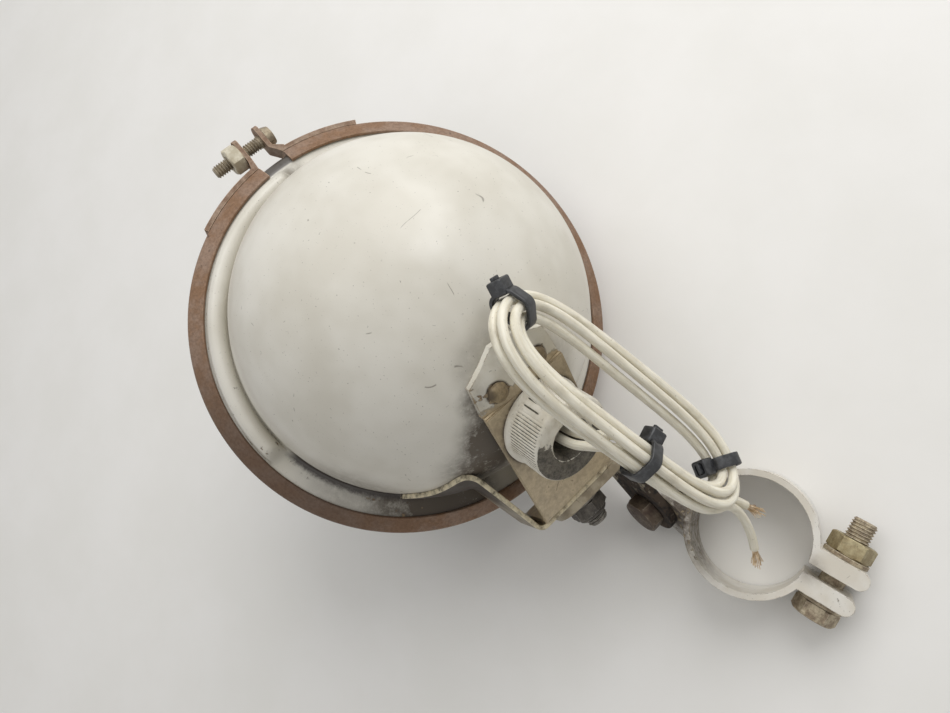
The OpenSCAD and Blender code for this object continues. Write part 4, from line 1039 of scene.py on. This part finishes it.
def rivetGrid(lean):
    # The head is a half ellipse of radius r cos(a) and height h sin(a), cut by a plane that leans one way.
    angle = circleSteps(rivet["columns"])
    base = light["plateThickness"] + light["seat"]
    climb = np.radians(np.linspace(0, 88, rivet["rows"]))[:, None]
    slow, quick = rivet["uneven"]
    uneven = 1 + slow * np.sin(3 * angle + lean) + quick * np.sin(7 * angle)
    radius = rivet["radius"] * np.cos(climb) * uneven
    facet = rivet["facet"] + rivet["slant"] * radius * np.cos(angle - lean)
    head = lathed(radius, base + np.minimum(rivet["high"] * np.sin(climb) + 0 * angle, facet), angle)
    shank = spun([(rivet["shank"], rivet["deep"]), (rivet["shank"], base)], rivet["columns"])
    return np.vstack([shank, head])


rivetGrids = [put(rivetGrid(rivet["lean"] + side), np.linalg.inv(inHead) @ onDome(light["rivetAlong"], side))
              for side in rivetSides]
rivets = buildMesh("hammeredRivets", rivetGrids, inHead, sharp=50)
finishPiece(rivets, "lamp_head", "tarnished_rivet", rivetMetal, "bracket_rivets")

# Brace: one strip with two round bends, whose foot lies on the dome
brace = {"thickness": light["braceThickness"], "tabX": 82.83, "start": 15.0, "firstY": -15.35,
         "firstBend": 2.8, "turn": 77, "secondBend": 6.0, "end": -45, "low": 6.5, "high": 26.0,
         "lastLow": 5.8, "lastHigh": 37.0, "legShare": 0.85, "tip": 20.0, "footLong": 22, "corner": 4.0,
         "edge": 0.35, "hole": 4.2,
         "rows": {"tab": 22, "bend": 12, "leg": 14, "lift": 14, "foot": 34}}


def braceEdges(f, stage):
    # The strip's lower and upper edge in each row: the upper one climbs along the leg and the second bend
    # and comes down along the foot, and both are drawn in by a quarter circle at the strip's two ends.
    smooth = f * f * (3 - 2 * f)
    lift = brace["lastHigh"] - brace["high"]
    level = brace["high"] + 0 * f
    high = np.choose(stage, [level, level, level + brace["legShare"] * lift * f,
                             level + (brace["legShare"] + (1 - brace["legShare"]) * f) * lift,
                             brace["lastHigh"] + (brace["tip"] - brace["lastHigh"]) * smooth])
    drop = brace["lastLow"] - brace["low"]
    low = brace["low"] + drop * np.choose(stage, [0 * f, 0 * f, f, 0 * f + 1, 0 * f + 1])
    far = 0 * f + brace["corner"]
    gone = np.choose(stage, [f * (brace["start"] - brace["firstY"]), far, far, far,
                             (1 - f) * brace["footLong"]])
    short = np.clip(brace["corner"] - gone, 0, None)
    cut = brace["corner"] - np.sqrt(np.clip(brace["corner"] ** 2 - short ** 2, 0, None))
    return low + cut, high - cut


def braceGrid():
    # In plan the strip is a tab, an arc, a leg c + f t d, an arc whose centre is as far from the leg as
    # from the dome, |centre| = dome radius at that height + arc radius, and then the dome itself down to
    # its last angle.
    half, bevel = brace["thickness"] / 2, brace["edge"]
    face = np.concatenate([[0, 0.006], np.linspace(0.05, 0.95, 14), [0.994, 1]])
    rim = np.array([half - 0.1, half - bevel, bevel - half, 0.1 - half])
    offset = np.concatenate([0 * face + half, rim, 0 * face - half, -rim])[None, :]
    share = np.concatenate([face, 0 * rim + 1, face[::-1], 0 * rim])[None, :]
    drop = np.array([0.1, 0, 0, 0.1])
    inset = np.concatenate([bevel * (1 - 2 * face), -drop, bevel * (1 - 2 * face)[::-1], drop])[None, :]
    counts = list(brace["rows"].values())
    stage = np.repeat(np.arange(len(counts)), counts)[:, None]
    last = len(counts) - 1
    f = np.concatenate([np.linspace(0, 1, count, endpoint=k == last) for k, count in enumerate(counts)])
    f = np.where(stage == 0, 1 - np.cos(f[:, None] * np.pi / 2), f[:, None])
    low, high = braceEdges(f, stage)
    z = low + (high - low) * share + inset
    turn = np.radians(brace["turn"])
    way = -np.array([np.sin(turn), np.cos(turn)])
    side = np.array([-way[1], way[0]])
    pivot = np.array([brace["tabX"] - brace["firstBend"], brace["firstY"]])
    dome = light["domeRadius"] + light["seat"] + half + offset
    circle = np.sqrt(dome ** 2 - (z - light["domeRise"]) ** 2)
    outwards = pivot + (brace["firstBend"] + brace["secondBend"]) * side
    # the centre of the second arc is outwards + t way, at the distance circle + secondBend - offset
    reach, along = circle + brace["secondBend"] - offset, outwards @ way
    t = -along - np.sqrt(reach ** 2 - outwards @ outwards + along ** 2)
    centre = outwards + t[..., None] * way
    towards = np.arctan2(centre[..., 1], centre[..., 0])
    first = np.arctan2(-side[1], -side[0])

    def arc(middle, radius, angle):
        return middle + radius[..., None] * np.stack([np.cos(angle), np.sin(angle)], -1)

    tabRun = brace["start"] - f * (brace["start"] - brace["firstY"])
    tab = np.stack(np.broadcast_arrays(brace["tabX"] + offset, tabRun), -1)
    bend = arc(pivot, brace["firstBend"] + offset, -turn * f)
    leg = pivot + (brace["firstBend"] + offset)[..., None] * side + (f * t)[..., None] * way
    lift = arc(centre, brace["secondBend"] - offset, first + f * ((towards + np.pi - first) % (2 * np.pi)))
    foot = arc(0, circle, towards + f * (np.radians(brace["end"]) - towards))
    plan = np.choose(stage[..., None], np.broadcast_arrays(tab, bend, leg, lift, foot))
    return np.concatenate([plan, z[..., None]], -1), np.isin(share, (0, 1)) + 0 * z


# Bracket and link: merged copies of the CAD's sheet pieces with their edges broken
plateEnamel = sprayedEnamel("brushed white enamel over tan primer", inHead, {
    "paint": "#e4e0d4", "aged": "#d3cdbd", "grimeAndShade": "#453a2c", "primer": "#a5947a", "bare": "#77634a",
    "tan": "#d0bf9e", "cloud": 9.0, "chip": 2.6, "edge": 0.5, "edgeWear": 0.22, "rough": 0.34, "coat": 0.1,
    "stained": [(headSpot(onPlate(34)), 33.0, 43.0, 0.9)],
    # the dark rings round the rivets are partly chipped paint and partly painted shade
    "dirtyAndShaded": [(bootFoot, 13.4, 16.0, 1.2), (bootFoot, 14.0, 22.0, 0.35), (rivetSpots[0], 3.0, 4.2, 1.6),
              (rivetSpots[1], 3.0, 4.2, 1.6), (plateCorner, 1.0, 9.0, 0.4)],
    "chipped": [(plateCorner, 2.0, 8.0, 0.2), (rivetSpots[0], 3.2, 4.8, 0.17),
                (rivetSpots[1], 3.2, 5.2, 0.19), ((74, 4, 44), 8.0, 20.0, 0.13),
                (headSpot(onPlate(-2), (0, -2, 1)), 1.0, 7.0, 0.1)]})
# the brace's dark brown face colour and the strong dark spot over its foot are painted shade; its bright
# narrow sides are worn edges and a painted highlight
braceEnamel = sprayedEnamel("tan primer with painted shade and worn lit edges", inHead, {
    "paint": "#7d7059", "aged": "#665a45", "grimeAndShade": "#2d241a", "primer": "#b5a684", "bare": "#a39374",
    "rubbed": "#d9cdae", "cloud": 7.0, "chip": 3.0, "edge": 0.5, "edgeWear": 0.1, "rough": 0.36, "coat": 0.1,
    "dirtyAndShaded": [((44, -42, 20), 18.0, 38.0, 2.6)], "chipped": [((82, -16, 16), 4.0, 12.0, 0.1)]})
wornLink = sprayedEnamel("worn paint on dark link steel", inLink, {
    "paint": "#aba08a", "aged": "#877b66", "grimeAndShade": "#2c231b", "primer": "#3b3026", "bare": "#17120e",
    "cloud": 5.0, "chip": 3.2, "edge": 0.8, "edgeWear": 0.14, "rough": 0.42, "coat": 0.0,
    "dirtyAndShaded": [((0, 0, 0), 8.0, 24.0, 1.0)], "chipped": [((0, 0, 0), 12.0, 26.0, 0.37)]})
plate = workedCopy("bracketPlate", "mount_bracket", 0.35)
finishPiece(plate, "lamp_head", "chipped_paint", plateEnamel, "mount_bracket")
# the narrow sides are marked to be painted bright: worn edges and a painted highlight
braceRows, braceWornLitSides = braceGrid()
strip = buildMesh("braceStrip", [braceRows], inHead, sharp=50, attributes={"rubbed": braceWornLitSides.ravel()})
cutHoles(strip, [plug("boltHole", brace["hole"], onFlangeBolt(brace["tabX"]))])
finishPiece(strip, "lamp_head", "chipped_paint", braceEnamel, "brace_strip")
finishPiece(workedCopy("swivelLink", "swivel_link", 0.5), "link", "dark_steel", wornLink, "swivel_link")

# Clamp
clampEnamel = sprayedEnamel("thick white enamel on a cast clamp", inClamp, {
    "paint": "#dad6cd", "aged": "#cdc6b8", "grimeAndShade": "#4c4238", "primer": "#8d8069", "bare": "#3d332a",
    "cloud": 12.0, "chip": 2.4, "edge": 0.5, "edgeWear": 0.2, "rough": 0.3, "coat": 0.15,
    "dirtyAndShaded": [((-17, -9, 2), 8.0, 24.0, 0.8), ((20, 0, 10), 1.0, 7.0, 0.5), ((-28, -12, 6), 6.0, 14.0, 0.6)],
    "chipped": [((-18, -9, 2), 8.0, 20.0, 0.17), ((-30, -14, 6), 4.0, 14.0, 0.2),
                ((34, -7, 10), 2.0, 12.0, 0.09)]})
tubeClamp = workedCopy("tubeClamp", "tube_clamp", 0.5)
finishPiece(tubeClamp, "strut_clamp", "white_paint", clampEnamel, "tube_clamp")
print("bracket, link and clamp ready")

# Rubber boot: a turned shape with fine ribs round a part of its side and two nicks beside them
boot = {"radius": 13.6, "bore": 6.0, "lip": 0.8, "lipHigh": 1.2, "top": 15.7, "neck": -6.0,
        "neckRadius": 9.0, "ribPitch": 1.0, "ribDeep": 0.28, "ribFrom": 203, "ribTo": 338, "ribFade": 3,
        "nicks": (187, 197), "nickWide": 1.1, "nickTop": 11.5, "nickDeep": 1.6, "paintedSide": 165,
        "bareRibs": 300, "columns": 720}


def bootGrid():
    # A spun outline whose side is drawn in by the ribs, (1 - cos(run / pitch)) / 2 raised to 2.5, and by the
    # nicks, exp(-(turn / width)^2). The second array says where the paint has worn off.
    r, bore, top, neck, wide = (boot[key] for key in ("radius", "bore", "top", "neck", "neckRadius"))
    base = light["plateThickness"] + light["seat"]
    foot = base + boot["lipHigh"]
    outline = [(bore, neck), (wide - 0.8, neck), (wide, neck + 1), (wide, base), (r + boot["lip"], base),
               (r + boot["lip"], foot - 0.3), (r + 0.5, foot)]
    outline += [(r, z) for z in np.linspace(foot + 0.5, top - 1.3, 16)]
    outline += [(r - 0.25, top - 0.6), (r - 0.9, top - 0.12), (r - 1.8, top), (bore + 2.4, top - 0.15),
                (bore + 1.1, top - 0.5), (bore + 0.2, top - 1.6)]
    outline += [(bore, z) for z in np.linspace(top - 3, neck + 1, 6)]
    radius, height = np.array(outline).T[..., None]
    angle = circleSteps(boot["columns"])
    turn = np.degrees(angle)

    def ramp(value, start, stop):
        return np.clip((value - start) / (stop - start), 0, 1)

    side = radius > r - 0.5
    ends = ramp(turn, boot["ribFrom"], boot["ribFrom"] + boot["ribFade"])
    ends = ends * ramp(turn, boot["ribTo"], boot["ribTo"] - boot["ribFade"])
    ribbed = ends * ramp(height, foot + 0.3, foot + 0.8) * ramp(height, top - 0.6, top - 1.2) * side
    wave = 0.5 - 0.5 * np.cos(angle * r / boot["ribPitch"] * 2 * np.pi)
    groove = ribbed * wave ** 2.5
    within = ramp(height, foot + 0.8, foot + 1.8) * ramp(height, boot["nickTop"], boot["nickTop"] - 1) * side
    nicked = within * sum(np.exp(-((turn - nick) / boot["nickWide"]) ** 2) for nick in boot["nicks"])
    face = ramp(height, top - 0.75, top - 0.15) * (radius > bore - 1)
    faceBare = face * np.clip(0.75 - 0.9 * np.cos(np.radians(turn - boot["paintedSide"])), 0, 1)
    inside = (radius < bore + 0.5) * (height < top - 1) + 0 * turn
    ribsBare = groove * np.clip(0.5 + 0.4 * np.cos(np.radians(turn - boot["bareRibs"])), 0, 1)
    bare = np.max([faceBare, inside, ribsBare, nicked], axis=0)
    cut = boot["ribDeep"] * np.maximum(groove, boot["nickDeep"] * nicked)
    return lathed(radius - cut, height, angle), bare


def wornRubber(name):
    # Moulded black rubber, over-painted white: chalky paint with fine cracks, worn off at the face and in
    # the ribs.
    material, tree, spot = newMaterial(name, inHead)
    bare = addNode(tree, "Attribute", out="Fac", attribute_name="bare")
    ragged = addNode(tree, "TexNoise", {"Vector": spot, "Scale": 1 / 1.8, "Detail": 6.0,
                                        "Roughness": 0.65})
    worn = addNode(tree, "MapRange", [weighed(tree, [(bare, 1.0), (ragged, 0.7)]), 0.74, 0.8, 0.0, 1.0])
    chalk = patches(tree, spot, 5.0, 0.35, 0.65)
    specks = patches(tree, spot, 0.9, 0.62, 0.7)
    dusty = patches(tree, spot, 1.6, 0.3, 0.75, 7.0, 0.8)
    rubber = layered(tree, "#33302b", [(dusty, 1, "#7f786b")])
    colour = layered(tree, "#e0dbce", [(chalk, 1, "#cdc6b5"), (specks, 0.5, "#6d6352"), (worn, 1, rubber)])
    height = weighed(tree, [(worn, -0.08), (ragged, 0.08)])
    rough = addNode(tree, "MapRange", [worn, 0.0, 1.0, 0.5, 0.72])
    closeMaterial(tree, height, Base_Color=colour, Roughness=rough)
    return material


bootRows, bootBare = bootGrid()
bootPiece = buildMesh("rubberBoot", [bootRows], onPlate(light["bootAlong"]), along=True, sharp=70,
                      attributes={"bare": bootBare.ravel()})
finishPiece(bootPiece, "lamp_head", "boot_rubber", wornRubber("over-painted moulded rubber"), "rubber_boot")
print("boot ready")

# Sealed beam lamp
lens = {"edge": 70.8, "rim": 73.3, "back": 62.0, "bulge": 5.7, "bulgeEdge": 70.2, "thick": 4.0,
        "edgeZ": -11.38, "rimZ": -9.65, "weldZ": -4.85, "middle": 0.5, "frontRows": 40, "backRows": 36,
        "columns": 160}
reflector = {"focus": 19.5, "apex": 41.0, "glass": 3.0, "throat": 59.77, "outerFrom": 0.87, "middle": 0.3,
             "weldZ": -4.8, "top": -1.3, "lip": 1.5, "bossSide": 14.0, "bossRadius": 6.5, "bossFoot": 39.5,
             "bossTop": 46.0, "postHole": 0.85, "innerRows": 70, "outerRows": 50, "columns": 180,
             "bossColumns": 64}


def lensGrid():
    # The front is a shallow bowl z = edge - bulge (1 - (r / edge)^2), and the back the same, one glass up.
    front = np.linspace(lens["middle"], lens["bulgeEdge"], lens["frontRows"])
    back = np.linspace(lens["back"], lens["middle"], lens["backRows"])
    frontZ = lens["edgeZ"] - lens["bulge"] * (1 - (front / lens["bulgeEdge"]) ** 2)
    backZ = lens["edgeZ"] + lens["thick"] - lens["bulge"] * (1 - (back / lens["back"]) ** 2)
    rim = [(lens["edge"], lens["edgeZ"]), (lens["rim"], lens["rimZ"]), (lens["rim"], lens["weldZ"]),
           (lens["back"], lens["weldZ"])]
    outline = np.vstack([np.column_stack([front, frontZ]), rim, np.column_stack([back, backZ])])
    return spun(outline, lens["columns"])


def bowlHeight(radius):
    return reflector["apex"] - radius ** 2 / 4 / reflector["focus"]


def reflectorGrid():
    # Inside it is a bowl z = apex - r^2 / (4 focus), and outside the same, moved out by the glass.
    glass, throat = reflector["glass"], reflector["throat"]
    inner = np.linspace(reflector["middle"], throat, reflector["innerRows"])
    outer = np.linspace(throat * reflector["outerFrom"], reflector["middle"], reflector["outerRows"])
    slope = outer / 2 / reflector["focus"]
    lean = np.sqrt(1 + slope ** 2)
    rim = [(lens["rim"], reflector["weldZ"]), (lens["rim"], reflector["top"]),
           (throat + reflector["lip"], reflector["top"])]
    back = np.column_stack([outer + glass * slope / lean, bowlHeight(outer) + glass / lean])
    outline = np.vstack([np.column_stack([inner, bowlHeight(inner)]), rim, back])
    return spun(outline, reflector["columns"])


def bossGrid(side):
    # A pressed boss round one post: a short pipe, closed along its outline.
    low, high, hole, wide = (reflector[key] for key in ("bossFoot", "bossTop", "postHole", "bossRadius"))
    outline = [(hole, low), (wide, low), (wide, high - 0.7), (wide - 0.2, high - 0.2), (wide - 0.7, high),
               (hole, high)]
    return spun(outline, reflector["bossColumns"]) + [0, side * reflector["bossSide"], 0]


# Borosilicate glass, pressed: clear, with a faint ripple and a film of dust
pressedGlass = cloudedFinish("pressed borosilicate glass", {
    "clean": "#f3f7f6", "dull": "#e3e6df", "cloud": (14.0, 0.4, 0.75, 6.0), "rough": (0.02, 0.16),
    "relief": (9, 1.0, 0.05), "shader": {"IOR": 1.47, "Transmission_Weight": 1.0}})
# Vacuum aluminised glass: a bright mirror with a faint haze near its rim
silveredGlass = cloudedFinish("aluminised reflector glass", {
    "clean": "#dfe2e3", "dull": "#cfd2d1", "cloud": (18.0, 0.45, 0.8, 3.0), "rough": (0.05, 0.16),
    "shader": {"Metallic": 1.0}})
# Tin plated brass: clean metal with a light cloudy tarnish
terminalMetal = cloudedFinish("tin plated terminal brass", {
    "clean": "#b9b4a6", "dull": "#8f8a7c", "cloud": (4.0, 0.4, 0.65), "rough": (0.3, 0.5),
    "shader": {"Metallic": 1.0}})
# Drawn nickel wire: smooth grey metal, hardly tarnished
nickelWire = cloudedFinish("nickel support wire", {
    "clean": "#a9adaf", "dull": "#84888a", "cloud": (5.0, 0.4, 0.65), "rough": (0.25, 0.45),
    "shader": {"Metallic": 1.0}})
# Coiled tungsten: dark dull metal that has been white hot
tungsten = cloudedFinish("coiled tungsten", {
    "clean": "#5d5c5b", "dull": "#454443", "cloud": (0.8, 0.4, 0.65), "rough": (0.45, 0.65),
    "shader": {"Metallic": 1.0}})
# Black gasket rubber: matte, with a powdery bloom
gasketRubber = cloudedFinish("black gasket rubber", {
    "clean": "#1c1c1c", "dull": "#34322f", "cloud": (6.0, 0.4, 0.7), "rough": (0.65, 0.85), "shader": {}})

lensPiece = buildMesh("pressedLens", [lensGrid()], inHead, sharp=40)
finishPiece(lensPiece, "lamp_head", "clear_glass", pressedGlass, "lamp_lens")
bowl = buildMesh("reflectorBowl", [reflectorGrid()], inHead, sharp=40)
cutHoles(bowl, [plug("postHole", reflector["postHole"],
                     inHead @ moved(0, side * reflector["bossSide"], reflector["apex"]))
                for side in (-1, 1)])
finishPiece(bowl, "lamp_head", "mirror_glass", silveredGlass, "lamp_reflector")
bosses = buildMesh("reflectorBosses", [bossGrid(-1), bossGrid(1)], inHead, along=True, sharp=40)
finishPiece(bosses, "lamp_head", "mirror_glass", silveredGlass)
keptNodes = {
    "rim_gasket": gasketRubber, "lamp_terminals": terminalMetal, "terminal_screws": terminalMetal,
    "lead_lugs": terminalMetal, "filament_posts": nickelWire, "lamp_filament": tungsten,
}
for node, material in keptNodes.items():
    nodes[node].data.materials.clear()
    nodes[node].data.materials.append(material)
print("lamp ready")
